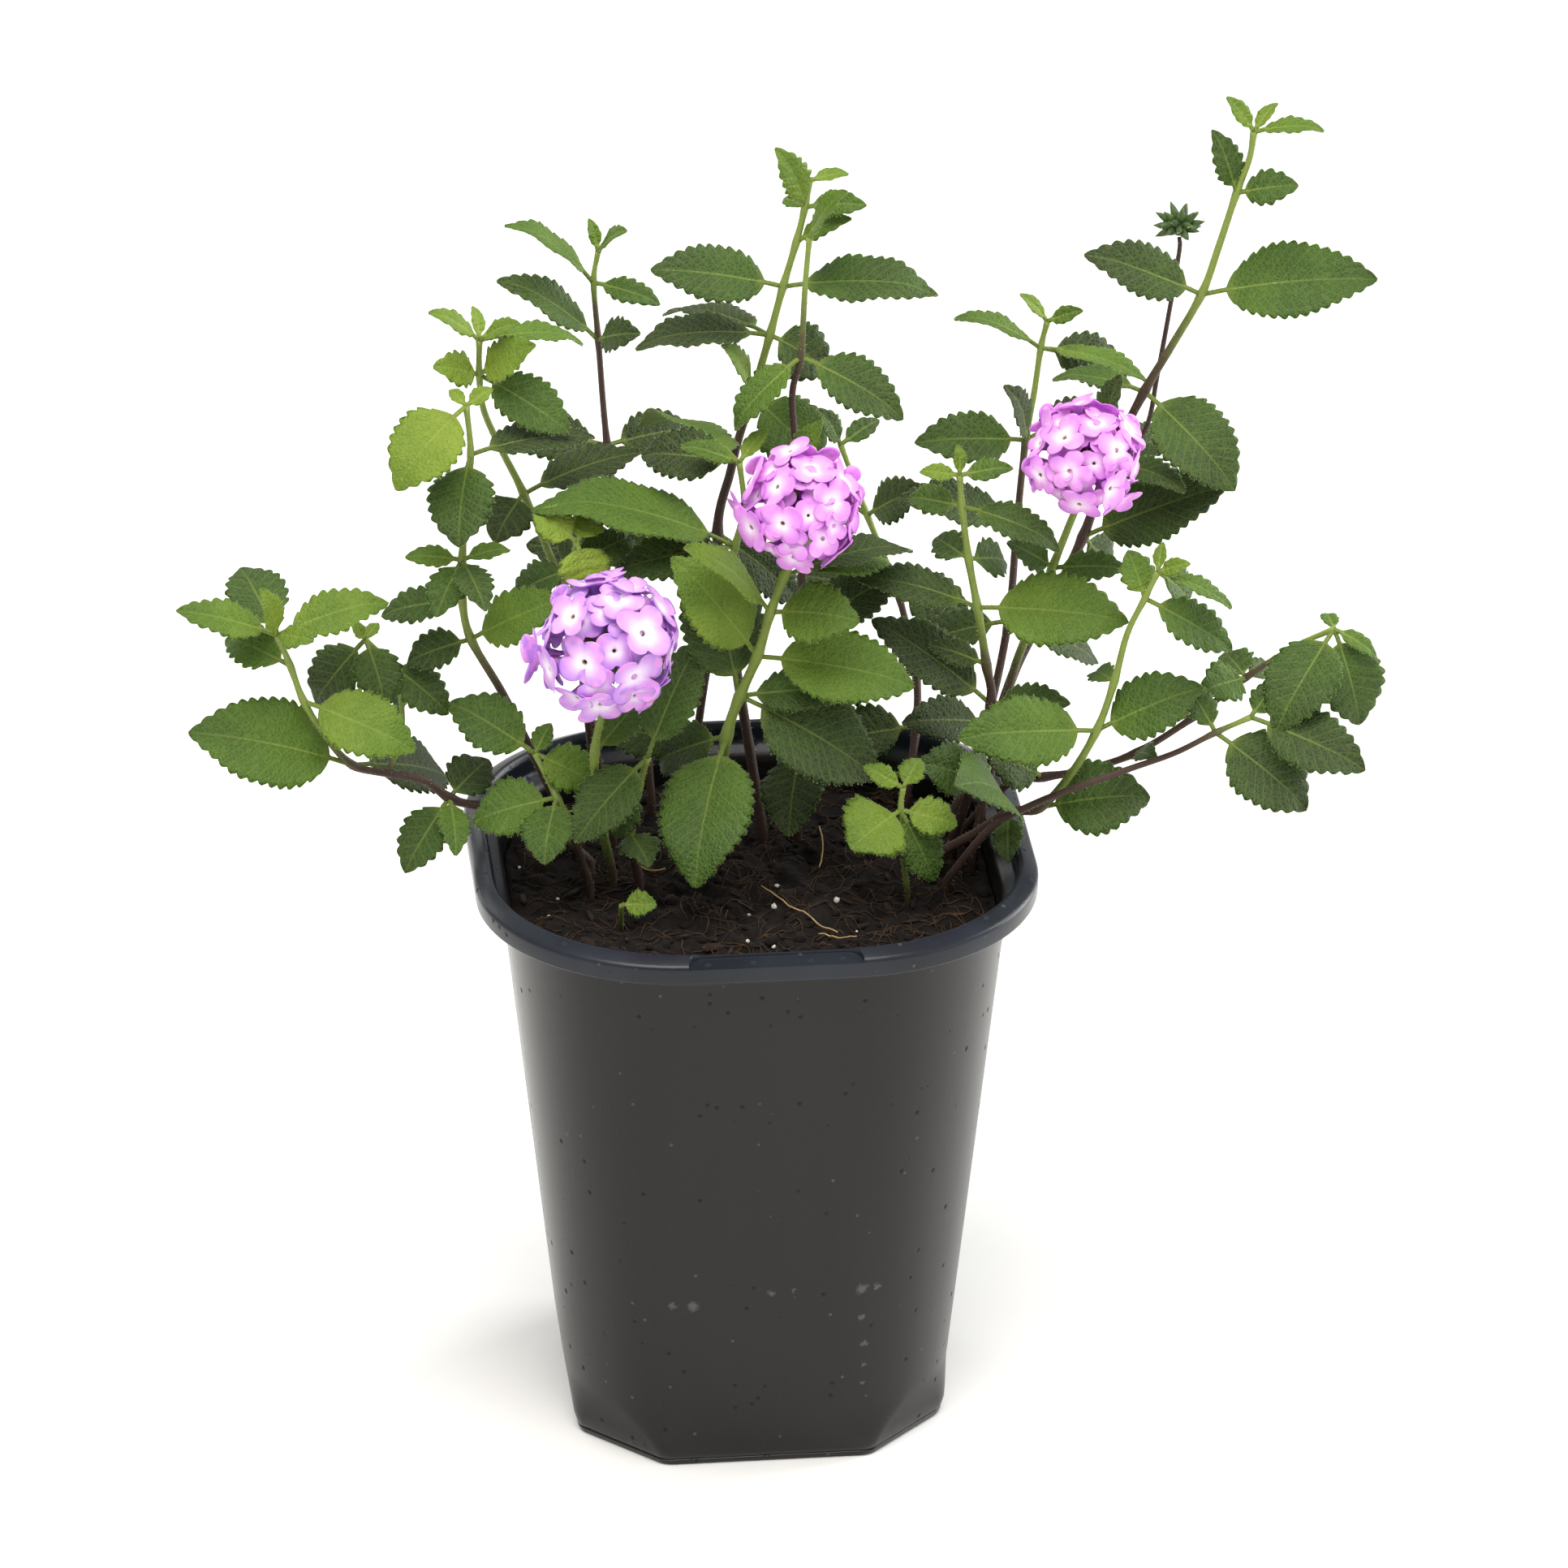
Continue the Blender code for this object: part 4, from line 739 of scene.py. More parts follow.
def ring_at(half, height, steps):
    """A ring of points round a square with round corners."""
    points = []
    corner = corner_of(half)
    middle = half - corner
    for quarter in range(4):
        for step in range(steps + 1):
            turn = pi / 2 * (quarter + step / steps)
            x = middle * (1 if quarter in (0, 3) else -1) + corner * cos(turn)
            y = middle * (1 if quarter in (0, 1) else -1) + corner * sin(turn)
            points.append(Vector((x, y, height)))
    return points


def lathe(rings):
    """A closed solid from rings of as many points each, capped at both ends."""
    return [point for ring in rings for point in ring], tube_faces(len(rings), len(rings[0]))


def rough_pot():
    """The pot with its soil, as leaves have to stay clear of it."""
    outline = [(body_half(20), 20), (BODY_TOP_HALF + 0.5, SKIRT_LOW - 4), (RIM_HALF + 0.6, SKIRT_LOW - 0.6),
               (RIM_HALF + 0.6, POT_HEIGHT + 0.5), (59.5, POT_HEIGHT + 0.5), (BODY_TOP_HALF - 2, 132),
               (50, SOIL_LEVEL + 1.6)]
    return lathe([ring_at(half, height, ROUGH_STEPS) for half, height in outline])


def rough_ball(middle, radius, around=8, rings=6):
    """A closed ball as (vertices, faces)."""
    axis = Vector((0, 0, 1))
    side = axis.orthogonal().normalized()
    other = axis.cross(side)
    vertices = [middle - axis * radius]
    for ring in range(1, rings):
        tilt = pi * ring / rings
        for corner in range(around):
            turn = 2 * pi * corner / around
            out = (side * cos(turn) + other * sin(turn)) * sin(tilt) - axis * cos(tilt)
            vertices.append(middle + out * radius)
    vertices.append(middle + axis * radius)
    top = len(vertices) - 1
    last = 1 + (rings - 2) * around
    faces = []
    for corner in range(around):
        after = (corner + 1) % around
        faces.append((0, 1 + after, 1 + corner))
        for ring in range(rings - 2):
            a = 1 + ring * around + corner
            b = 1 + ring * around + after
            faces.append((a, b, b + around, a + around))
        faces.append((last + corner, last + after, top))
    return vertices, faces


# %% [markdown]
# The plant grows from its stems outwards, as a real one does: first every stem, with its head at
# its end, and then the leaves, shoot by shoot. A side shoot starts from a joint of its parent and
# counts as one plant with it. Leaves of one plant may meet at their stalks, but not at their
# blades.

# %% All shoots and leaves in their places
def grow():
    """Every shoot with its points, and every leaf in its place."""
    shoots = {}
    for shoot in SHOOTS:
        points = [seen(*joint) for joint in shoot["joints"]]
        plant = shoot["name"]
        if "parent" in shoot:
            parent, joint = shoot["parent"]
            points = [shoots[parent]["points"][joint]] + points
            plant = shoots[parent]["plant"]
        else:
            points[0].z = SOIL_LEVEL + STEM_FOOT
        for head in HEADS + [BUD]:
            if head["stem"] == shoot["name"]:
                middle = seen(*head["middle"])
                points.append(middle + (points[-1] - middle).normalized() * (head["core"] + CLEARANCE))
        first = 1 if "parent" in shoot else 0
        shoots[shoot["name"]] = {**shoot, "points": points, "plant": plant, "first": first}
    guards = []
    stems = []
    for shoot in shoots.values():
        points, radii = stem_line(shoot, 1)
        wider = [radius + STEM_GUARD for radius in radii]
        guards.append(guard_of(tube(points, wider, STEM_SIDES), shoot["plant"]))
        stems.append(guard_of(tube(points, radii, STEM_SIDES), shoot["plant"]))
    for head in HEADS + [BUD]:
        guards.append(guard_of(rough_ball(seen(*head["middle"]), head["reach"]), head["name"]))
    guards.append(guard_of(rough_pot(), "pot"))
    blades = []
    leaves = []
    for shoot in shoots.values():
        for row in shoot["leaves"]:
            joint_row = (row[0] + shoot["first"],) + tuple(row[1:])
            others = [g for g in guards if g["owner"] != shoot["plant"]]
            siblings = [b for b in blades + stems if b["owner"] == shoot["plant"]]
            placed = place_leaf(shoot, joint_row, others, siblings)
            if placed is None:
                continue
            leaf, whole, blade = placed
            leaves.append(leaf)
            guards.append(whole)
            blades.append(blade)
    return shoots, leaves


shoots, leaves = grow()
lengths = sorted(leaf["frame"][0] for leaf in leaves)
print(len(leaves), "leaves,", round(lengths[0], 1), "to", round(lengths[-1], 1), "mm long with petioles")

# %% [markdown]
# A lantana leaf is a thin blade on a short stalk. Its edge has round teeth that lean towards the
# tip, a side vein runs out to each tooth, and between the sunken veins the surface swells up like a
# quilt. A flat card with a picture on it would give none of this from the side, so the blade is a
# real mesh: a grid along and across the leaf, with an upper and a lower skin that meet at the edge.
# Teeth, veins, quilting and waves are formulas on that grid. The veins are also kept as marks, so
# that the finish can draw them finely just where the mesh sinks.

# %% One fine leaf
TOOTH_SPACING = 2.4
TOOTH_DEPTH = 0.95
TOOTH_LEAN = 1.6
BLADE_THICK = 0.34
RIB_RADIUS = 0.38
STALK_HALF = 0.55
QUILT_DEPTH = 0.42
VEIN_REACH = 0.24
EDGE_WAVE = 0.55
EDGE_CURL = 0.07
FOLD_SOFTNESS = 1.6
ROWS_PER_TOOTH = 6
RIB_GROOVE = 0.30
LEAF_DROOP = 0.05
LEAF_BEND = 0.035
STALK_THICK = 1.0


def ease(low, high, value):
    """0 below low, 1 above high, and a smooth step between them."""
    t = np.clip((value - low) / (high - low), 0, 1)
    return t * t * (3 - 2 * t)


def fine_leaf(leaf, chance):
    """A leaf's skins as (points, faces, marks), and its edge points for the hairs."""
    length, forward, sideways, upper = leaf["frame"]
    blade = length * (1 - PETIOLE_SHARE)
    teeth = max(4, round(blade / TOOTH_SPACING))
    columns = 15 if length > 26 else 13 if length > 17 else 9
    stalk = np.linspace(0, PETIOLE_SHARE, 4)[:-1]
    steps = np.linspace(0, 1, teeth * ROWS_PER_TOOTH + 1)[:-1]
    rows = np.concatenate([stalk, PETIOLE_SHARE + (1 - PETIOLE_SHARE) * steps])
    across = np.linspace(-1, 1, columns)
    across = np.sign(across) * np.abs(across) ** 0.9
    share, side = np.meshgrid(rows, across, indexing="ij")
    along = np.clip((share - PETIOLE_SHARE) / (1 - PETIOLE_SHARE), 0, 1)
    half = [half_width(s, leaf["width"]) if s > PETIOLE_SHARE else STALK_HALF for s in rows]
    half = np.array(half)[:, None]

    phase = (along * teeth) % 1.0
    bulge = np.sin(pi * phase ** TOOTH_LEAN) ** 0.7
    depth = min(TOOTH_DEPTH, 0.13 * leaf["width"]) * ease(0.02, 0.14, along) * np.clip(half / 4, 0, 1)
    reach = half + depth * (bulge - 0.6) * np.abs(side) ** 5
    q = side * reach

    reach_teeth = round(VEIN_REACH * teeth - 0.5) + 0.5
    vein = along * teeth - reach_teeth * np.abs(side) ** 0.85
    in_blade = ease(0.0, 0.10, along)
    between = np.abs(np.sin(pi * vein)) ** 0.7
    quilt = QUILT_DEPTH * min(leaf["width"] / 16, 1.15) * in_blade * (1 - 0.55 * np.abs(side) ** 3)
    relief = quilt * (between - 0.45) * ease(0.02, 0.22, np.abs(side))
    relief -= RIB_GROOVE * in_blade * np.exp(-(q / 0.8) ** 2)
    start = chance.uniform(0, 2 * pi)
    waves = chance.uniform(1.6, 2.6)
    wave = EDGE_WAVE * min(leaf["width"] / 18, 1.2) * side ** 2 * in_blade
    wave *= np.sin(2 * pi * waves * along + start + np.where(side > 0, 1.7, 0.0))
    curl = EDGE_CURL * half * np.abs(side) ** 4 * chance.uniform(0.3, 1.6)
    droop = LEAF_DROOP * length * ease(0.62, 1.0, along) ** 2 * chance.uniform(0, 1.6)
    bend = chance.uniform(-LEAF_BEND, LEAF_BEND) * length * along * along
    fold = LEAF_FOLD * (np.sqrt(q ** 2 + FOLD_SOFTNESS ** 2) - FOLD_SOFTNESS)
    arch = 4 * LEAF_ARCH * length * share * (1 - share)
    height = arch + fold + relief + wave - curl - droop

    stalk_like = 1 - ease(PETIOLE_SHARE - 0.02, PETIOLE_SHARE + 0.10, share)
    rib = RIB_RADIUS * (1 - 0.75 * along) * np.exp(-(q / 0.55) ** 2)
    round_stalk = STALK_THICK * np.sqrt(np.clip(1 - side ** 2, 0, 1))
    thick = (BLADE_THICK + rib) * (1 - stalk_like) + round_stalk * stalk_like
    thick = thick * np.clip(1.6 * (1 - np.abs(side) ** 8), 0, 1)

    foot = np.array(leaf["foot"])
    ahead, beside, above = (np.array(v) for v in (forward, sideways, upper))
    lift = height + np.where(stalk_like > 0.5, 0.25 * round_stalk, 0)
    middle = (foot + ahead * (share * length)[..., None] + beside * (q + bend)[..., None])
    top = middle + above * lift[..., None]
    under = middle + above * (lift - thick)[..., None]
    tip = foot + ahead * length + beside * bend[-1, 0] + above * (height[-1, columns // 2])

    count, inner = len(rows), columns - 2
    points = np.concatenate([top.reshape(-1, 3), under[:, 1:-1].reshape(-1, 3), tip[None]])

    def on_top(i, j):
        return i * columns + j

    def below(i, j):
        return on_top(i, j) if j in (0, columns - 1) else count * columns + i * inner + j - 1

    last = len(points) - 1
    faces = []
    for j in range(columns - 1):
        for i in range(count - 1):
            faces.append((on_top(i, j), on_top(i, j + 1), on_top(i + 1, j + 1), on_top(i + 1, j)))
            faces.append((below(i, j), below(i + 1, j), below(i + 1, j + 1), below(i, j + 1)))
        faces.append((on_top(count - 1, j), on_top(count - 1, j + 1), last))
        faces.append((below(count - 1, j + 1), below(count - 1, j), last))
        foot_end = (below(0, j), below(0, j + 1), on_top(0, j + 1), on_top(0, j))
        faces.append(tuple(dict.fromkeys(foot_end)))

    place = np.stack([vein, q, along], axis=-1)
    places = np.concatenate([place.reshape(-1, 3), place[:, 1:-1].reshape(-1, 3), [[0, 0, 1]]])
    is_under = np.concatenate([np.zeros(count * columns), np.ones(count * inner), [0]])
    is_stalk = np.concatenate([stalk_like.ravel(), stalk_like[:, 1:-1].ravel(), [0]])
    marks = {"leaf_place": places, "underside": is_under, "tone": leaf["tone"], "stalk": is_stalk}
    edge = np.concatenate([top[:, 0], top[::-1, -1]])
    return points, faces, marks, edge


points, faces, marks, edge = fine_leaf(leaves[0], Random(1))
print("the first leaf has", len(faces), "faces for", len(edge), "edge points")

# %% [markdown]
# A lantana stem is slender and slightly square, swells where a pair of leaves sits, and is rough
# with short stiff hairs when young. It is swept along the shoot's curve. How far the bark has come,
# from the soil upwards, is kept as a mark on each point. The hairs are spikes of three sides: hair
# curves would be finer still, but they don't survive an export as a mesh.

# %% One stem, and hairs on any surface
STEM_CORNERS = 12
STEM_STEPS = 7
STEM_FINE = 0.82
SQUARENESS = 0.07
JOINT_SWELL = 0.30
JOINT_LENGTH = 2.2
HAIR_RADIUS = 0.055
STEM_HAIRS_PER_MM = 5.0
EDGE_HAIR_SPACING = 0.75


def fine_stem(shoot):
    """A stem as (points, faces, bark, curve, radii)."""
    curve, radii = stem_line(shoot, STEM_STEPS)
    joints = [shoot["points"][row[0] + shoot["first"]] for row in shoot["leaves"]]
    points = []
    side = Vector((1, 0, 0))
    for index, (point, radius) in enumerate(zip(curve, radii)):
        before = curve[max(index - 1, 0)]
        after = curve[min(index + 1, len(curve) - 1)]
        along = (after - before).normalized()
        side = (side - along * side.dot(along)).normalized()
        other = along.cross(side)
        near = min([(point - joint).length for joint in joints] or [99.0])
        swell = 1 + JOINT_SWELL * np.exp(-(near / JOINT_LENGTH) ** 2)
        for corner in range(STEM_CORNERS):
            turn = 2 * pi * corner / STEM_CORNERS
            reach = radius * STEM_FINE * swell * (1 + SQUARENESS * cos(4 * turn))
            points.append(point + (side * cos(turn) + other * sin(turn)) * reach)
    share = np.repeat(np.linspace(0, 1, len(curve)), STEM_CORNERS)
    bark = 1 - ease(shoot["bark"] - 0.16, shoot["bark"] + 0.10, share)
    return points, tube_faces(len(curve), STEM_CORNERS), bark, curve, radii


def hair(root, out, length):
    """A stiff hair as a spike of three sides."""
    side = out.orthogonal().normalized() * HAIR_RADIUS
    other = out.cross(side).normalized() * HAIR_RADIUS
    ring = [root + side, root - side * 0.5 + other * 0.87, root - side * 0.5 - other * 0.87]
    return ring + [root + out * length], [(0, 1, 3), (1, 2, 3), (2, 0, 3), (2, 1, 0)]


def hairs_on_stem(pile, curve, radii, bark, chance):
    """Hairs that stand out of a stem all round, fewer where it has turned to bark."""
    for a, b, radius, share in zip(curve, curve[1:], radii, bark[::STEM_CORNERS]):
        along = (b - a).normalized()
        side = along.orthogonal().normalized()
        other = along.cross(side)
        for _ in range(round((b - a).length * STEM_HAIRS_PER_MM * (1 - 0.6 * share))):
            turn = chance.uniform(0, 2 * pi)
            out = side * cos(turn) + other * sin(turn)
            root = a.lerp(b, chance.random()) + out * radius * STEM_FINE * 0.9
            lean = (out + along * chance.uniform(0.0, 0.7)).normalized()
            pile.add(*hair(root, lean, chance.uniform(0.45, 0.95)), finish=2)


def hairs_on_edge(pile, edge, leaf, chance):
    """Hairs along a leaf's edge."""
    middle = leaf_point(leaf, 0.5, 0)
    forward, upper = leaf["frame"][1], leaf["frame"][3]
    spare = 0.0
    for a, b in zip(edge, edge[1:]):
        a, b = Vector(a), Vector(b)
        spare += (b - a).length
        while spare > EDGE_HAIR_SPACING:
            spare -= EDGE_HAIR_SPACING
            root = a.lerp(b, chance.random())
            out = root - middle
            out = (out - forward * out.dot(forward) * 0.6 - upper * out.dot(upper)).normalized()
            lean = (out + forward * 0.4 + upper * chance.uniform(-0.3, 0.3)).normalized()
            pile.add(*hair(root - out * 0.05, lean, chance.uniform(0.3, 0.6)), finish=2)


print("a stem hair is", HAIR_RADIUS * 2, "mm thick, drawn twice as thick as a real one so that it shows")

# %% [markdown]
# The finish of a leaf starts from the real thing. Living leaf tissue is a soft waxy solid, with an
# index of refraction near 1.45 and a broad, dull gloss that the hairs break up. Light goes into the
# blade, and comes out yellower, which a little subsurface scattering gives. Young leaves are
# yellow-green and old ones a deep, dark green; the same tone also darkens leaves that lie in shade,
# which is painted shade. Veins are paler than the blade, and the lower side is greyer. The smallest
# veins part the blade into cells of about a millimetre, which rise between them and give the leaf its
# rough, matt look.

# %% Leaf finish
LEAF_TONES = [(0.0, "1a290b"), (0.22, "25380f"), (0.45, "355212"), (0.7, "4e6c16"), (1.0, "778d27")]
VEIN_COLOUR = "92a34d"
UNDERSIDE_COLOUR = "77894d"
CELL_SIZE = 1.1 * MM
PATCH_SIZE = 9.0 * MM


def leaf_finish():
    """Living lantana leaf: matt, quilted and hairy, with pale veins."""
    finish, tree, shader = new_finish("lantana_leaf_tissue", {
        "IOR": 1.45, "Specular IOR Level": 0.42, "Subsurface Weight": 0.16,
        "Subsurface Radius": (0.6, 1.0, 0.15), "Subsurface Scale": 0.7 * MM})
    place = add_node(tree, "Attribute", {"attribute_name": "leaf_place"})
    parts = add_node(tree, "SeparateXYZ", None, {0: place.outputs["Vector"]})
    tone = add_node(tree, "Attribute", {"attribute_name": "tone"})
    under = add_node(tree, "Attribute", {"attribute_name": "underside"})
    stalk = add_node(tree, "Attribute", {"attribute_name": "stalk"})
    where = add_node(tree, "TexCoord").outputs["Object"]

    patches = add_node(tree, "TexNoise", None,
                       {"Vector": where, "Scale": 1 / PATCH_SIZE, "Detail": 3.0})
    uneven = add_node(tree, "MapRange", None,
                      {"Value": patches.outputs["Fac"], "To Min": -0.16, "To Max": 0.16})
    towards_foot = add_node(tree, "MapRange", None,
                            {"Value": parts.outputs["Z"], "To Min": 0.10, "To Max": -0.05})
    # The leaf's tone is partly its age and partly painted shade: leaves in shadow were given the darkest
    # tones.
    age_and_shade = add_node(tree, "Math", ADD, {0: tone.outputs["Fac"], 1: uneven.outputs["Result"]})
    age_and_shade = add_node(tree, "Math", ADD, {0: age_and_shade.outputs[0], 1: towards_foot.outputs["Result"]})
    blade = add_node(tree, "ValToRGB", None, {"Fac": age_and_shade.outputs[0]})
    set_stops(blade, LEAF_TONES)

    side_vein = add_node(tree, "Math", {"operation": "FRACT"}, {0: parts.outputs["X"]})
    side_vein = add_node(tree, "Math", {"operation": "PINGPONG"}, {0: side_vein.outputs[0], 1: 0.5})
    side_line = add_node(tree, "MapRange", SMOOTH,
                         {"Value": side_vein.outputs[0], "From Min": 0.02, "From Max": 0.13,
                          "To Min": 0.32, "To Max": 0.0})
    off_rib = add_node(tree, "Math", {"operation": "ABSOLUTE"}, {0: parts.outputs["Y"]})
    rib_line = add_node(tree, "MapRange", SMOOTH,
                        {"Value": off_rib.outputs[0], "From Min": 0.08, "From Max": 0.38,
                         "To Min": 1.0, "To Max": 0.0})
    thinner = add_node(tree, "MapRange", None,
                       {"Value": parts.outputs["Z"], "To Min": 1.0, "To Max": 0.30})
    rib_line = add_node(tree, "Math", MULTIPLY,
                        {0: rib_line.outputs["Result"], 1: thinner.outputs["Result"]})
    cells = add_node(tree, "TexVoronoi", {"feature": "DISTANCE_TO_EDGE"},
                     {"Vector": where, "Scale": 1 / CELL_SIZE})
    net_line = add_node(tree, "MapRange", SMOOTH,
                        {"Value": cells.outputs["Distance"], "From Min": 0.0, "From Max": 0.16,
                         "To Min": 0.22, "To Max": 0.0})
    veins = add_node(tree, "Math", MAXIMUM, {0: side_line.outputs["Result"], 1: rib_line.outputs[0]})
    veins = add_node(tree, "Math", MAXIMUM, {0: veins.outputs[0], 1: net_line.outputs["Result"]})
    share = add_node(tree, "Math", MULTIPLY, {0: veins.outputs[0], 1: 0.50})
    veined = add_node(tree, "Mix", COLOURS,
                      {"Factor": share.outputs[0], 6: blade.outputs["Color"], 7: linear(VEIN_COLOUR)})
    pale = add_node(tree, "Math", MULTIPLY, {0: under.outputs["Fac"], 1: 0.45})
    turned_over = add_node(tree, "Mix", COLOURS,
                           {"Factor": pale.outputs[0], 6: veined.outputs[2], 7: linear(UNDERSIDE_COLOUR)})
    green_stalk = add_node(tree, "Math", MULTIPLY, {0: stalk.outputs["Fac"], 1: 0.6})
    colour = add_node(tree, "Mix", COLOURS,
                      {"Factor": green_stalk.outputs[0], 6: turned_over.outputs[2], 7: linear("6d7f31")})
    tree.links.new(colour.outputs[2], shader.inputs["Base Color"])

    swell = add_node(tree, "MapRange", SMOOTH,
                     {"Value": cells.outputs["Distance"], "From Min": 0.0, "From Max": 0.35})
    lowered = add_node(tree, "Math", MULTIPLY, {0: side_line.outputs["Result"], 1: -0.8})
    surface = add_node(tree, "Math", ADD, {0: swell.outputs["Result"], 1: lowered.outputs[0]})
    bump = add_node(tree, "Bump", None,
                    {"Height": surface.outputs[0], "Strength": 0.75, "Distance": 0.2 * MM})
    tree.links.new(bump.outputs["Normal"], shader.inputs["Normal"])
    gloss = add_node(tree, "MapRange", None,
                     {"Value": swell.outputs["Result"], "To Min": 0.66, "To Max": 0.52})
    tree.links.new(gloss.outputs["Result"], shader.inputs["Roughness"])
    return finish


leaf_green = leaf_finish()
print(leaf_green.name, "has", len(leaf_green.node_tree.nodes), "nodes")

# %% [markdown]
# Stem bark starts as green skin and turns olive, and then a dark purple-brown as it becomes wood.
# It is drier than a leaf, so it is rougher, its colour is mottled and its skin has a fine grain.
# Hairs are glassy and pale; together they give a light rim round the stems. Bark and hairs could
# share one finish, but they have little in common, so each has its own.

# %% Stem and hair finishes
BARK_GRAIN = 0.5 * MM
BARK_MOTTLE = 2.0 * MM
HAIR_SHADE = 2.5 * MM


def stem_finish():
    """Young stem skin that turns to brown bark."""
    finish, tree, shader = new_finish("lantana_stem_bark", {"Roughness": 0.62, "IOR": 1.45})
    bark = add_node(tree, "Attribute", {"attribute_name": "bark"})
    where = add_node(tree, "TexCoord").outputs["Object"]
    mottle = add_node(tree, "TexNoise", None,
                      {"Vector": where, "Scale": 1 / BARK_MOTTLE, "Detail": 4.0})
    uneven = add_node(tree, "MapRange", None,
                      {"Value": mottle.outputs["Fac"], "To Min": -0.22, "To Max": 0.22})
    age = add_node(tree, "Math", ADD, {0: bark.outputs["Fac"], 1: uneven.outputs["Result"]})
    colour = add_node(tree, "ValToRGB", None, {"Fac": age.outputs[0]})
    set_stops(colour, [(0.0, "7b8d3e"), (0.3, "64722f"), (0.6, "4f472c"), (1.0, "3f2b24")])
    tree.links.new(colour.outputs["Color"], shader.inputs["Base Color"])
    fine = add_node(tree, "TexNoise", None, {"Vector": where, "Scale": 1 / BARK_GRAIN, "Detail": 3.0})
    bump = add_node(tree, "Bump", None,
                    {"Height": fine.outputs["Fac"], "Strength": 0.5, "Distance": 0.10 * MM})
    tree.links.new(bump.outputs["Normal"], shader.inputs["Normal"])
    return finish


def hair_finish():
    """Glassy plant hair."""
    finish, tree, shader = new_finish("lantana_hair_glassy", {"Roughness": 0.4, "IOR": 1.5})
    where = add_node(tree, "TexCoord").outputs["Object"]
    shade = add_node(tree, "TexNoise", None, {"Vector": where, "Scale": 1 / HAIR_SHADE})
    colour = add_node(tree, "ValToRGB", None, {"Fac": shade.outputs["Fac"]})
    set_stops(colour, [(0.3, "9fb56c"), (0.8, "d3deb0")])
    tree.links.new(colour.outputs["Color"], shader.inputs["Base Color"])
    return finish


stem_bark = stem_finish()
hair_pale = hair_finish()
print("stem and hair finishes:", stem_bark.name, "and", hair_pale.name)

# %% [markdown]
# Now each shoot is put together: its stem, its side shoots, its leaves and their hairs, in one
# pile. A seeded chance gives each leaf its own waves and bend, the same ones at each run.

# %% All leafy shoots
def make_shoot(plant):
    pile = Pile()
    chance = Random(plant)
    own = [shoot for shoot in shoots.values() if shoot["plant"] == plant]
    for shoot in own:
        points, faces, bark, curve, radii = fine_stem(shoot)
        pile.add(points, faces, finish=1, bark=bark)
        hairs_on_stem(pile, curve, radii, bark, chance)
    for leaf in leaves:
        if leaf["shoot"] in [shoot["name"] for shoot in own]:
            points, faces, marks, edge = fine_leaf(leaf, chance)
            pile.add(points, faces, finish=0, **marks)
            hairs_on_edge(pile, edge, leaf, chance)
    obj = pile.object(plant + "_grown", [leaf_green, stem_bark, hair_pale])
    dress(obj, plant)


for shoot in shoots.values():
    if "parent" not in shoot:
        make_shoot(shoot["name"])

# %% [markdown]
# A lantana bloom is a dome of twenty to forty small florets. Each is a thin curved tube that opens
# into four or five broad round lobes, which overlap their neighbours. The lobes could be separate
# petals, but on the flower they are one skin, so a floret is made as rings of points: up the
# outside of the tube, out under the lobes, round their edge, back over them and down the throat.
# How far each ring is from the throat is kept as a mark, because the colour follows it: a throat
# painted dark for the shade down the tube, a white eye, then lilac.

# %% One floret
FLORET_AROUND = 40
LOBE_NOTCH = 0.44
LOBE_ROUND = 0.50
TUBE_RADIUS = 0.55
PETAL_THICK = 0.22
PETAL_RUFFLE = 0.05
NOTCH_SINK = 0.10
THROAT_SHARE = 0.08
PETAL_RINGS = (0.16, 0.30, 0.46, 0.62, 0.78, 0.91, 1.0)
UNDER_RINGS = (0.93, 0.7, 0.4)


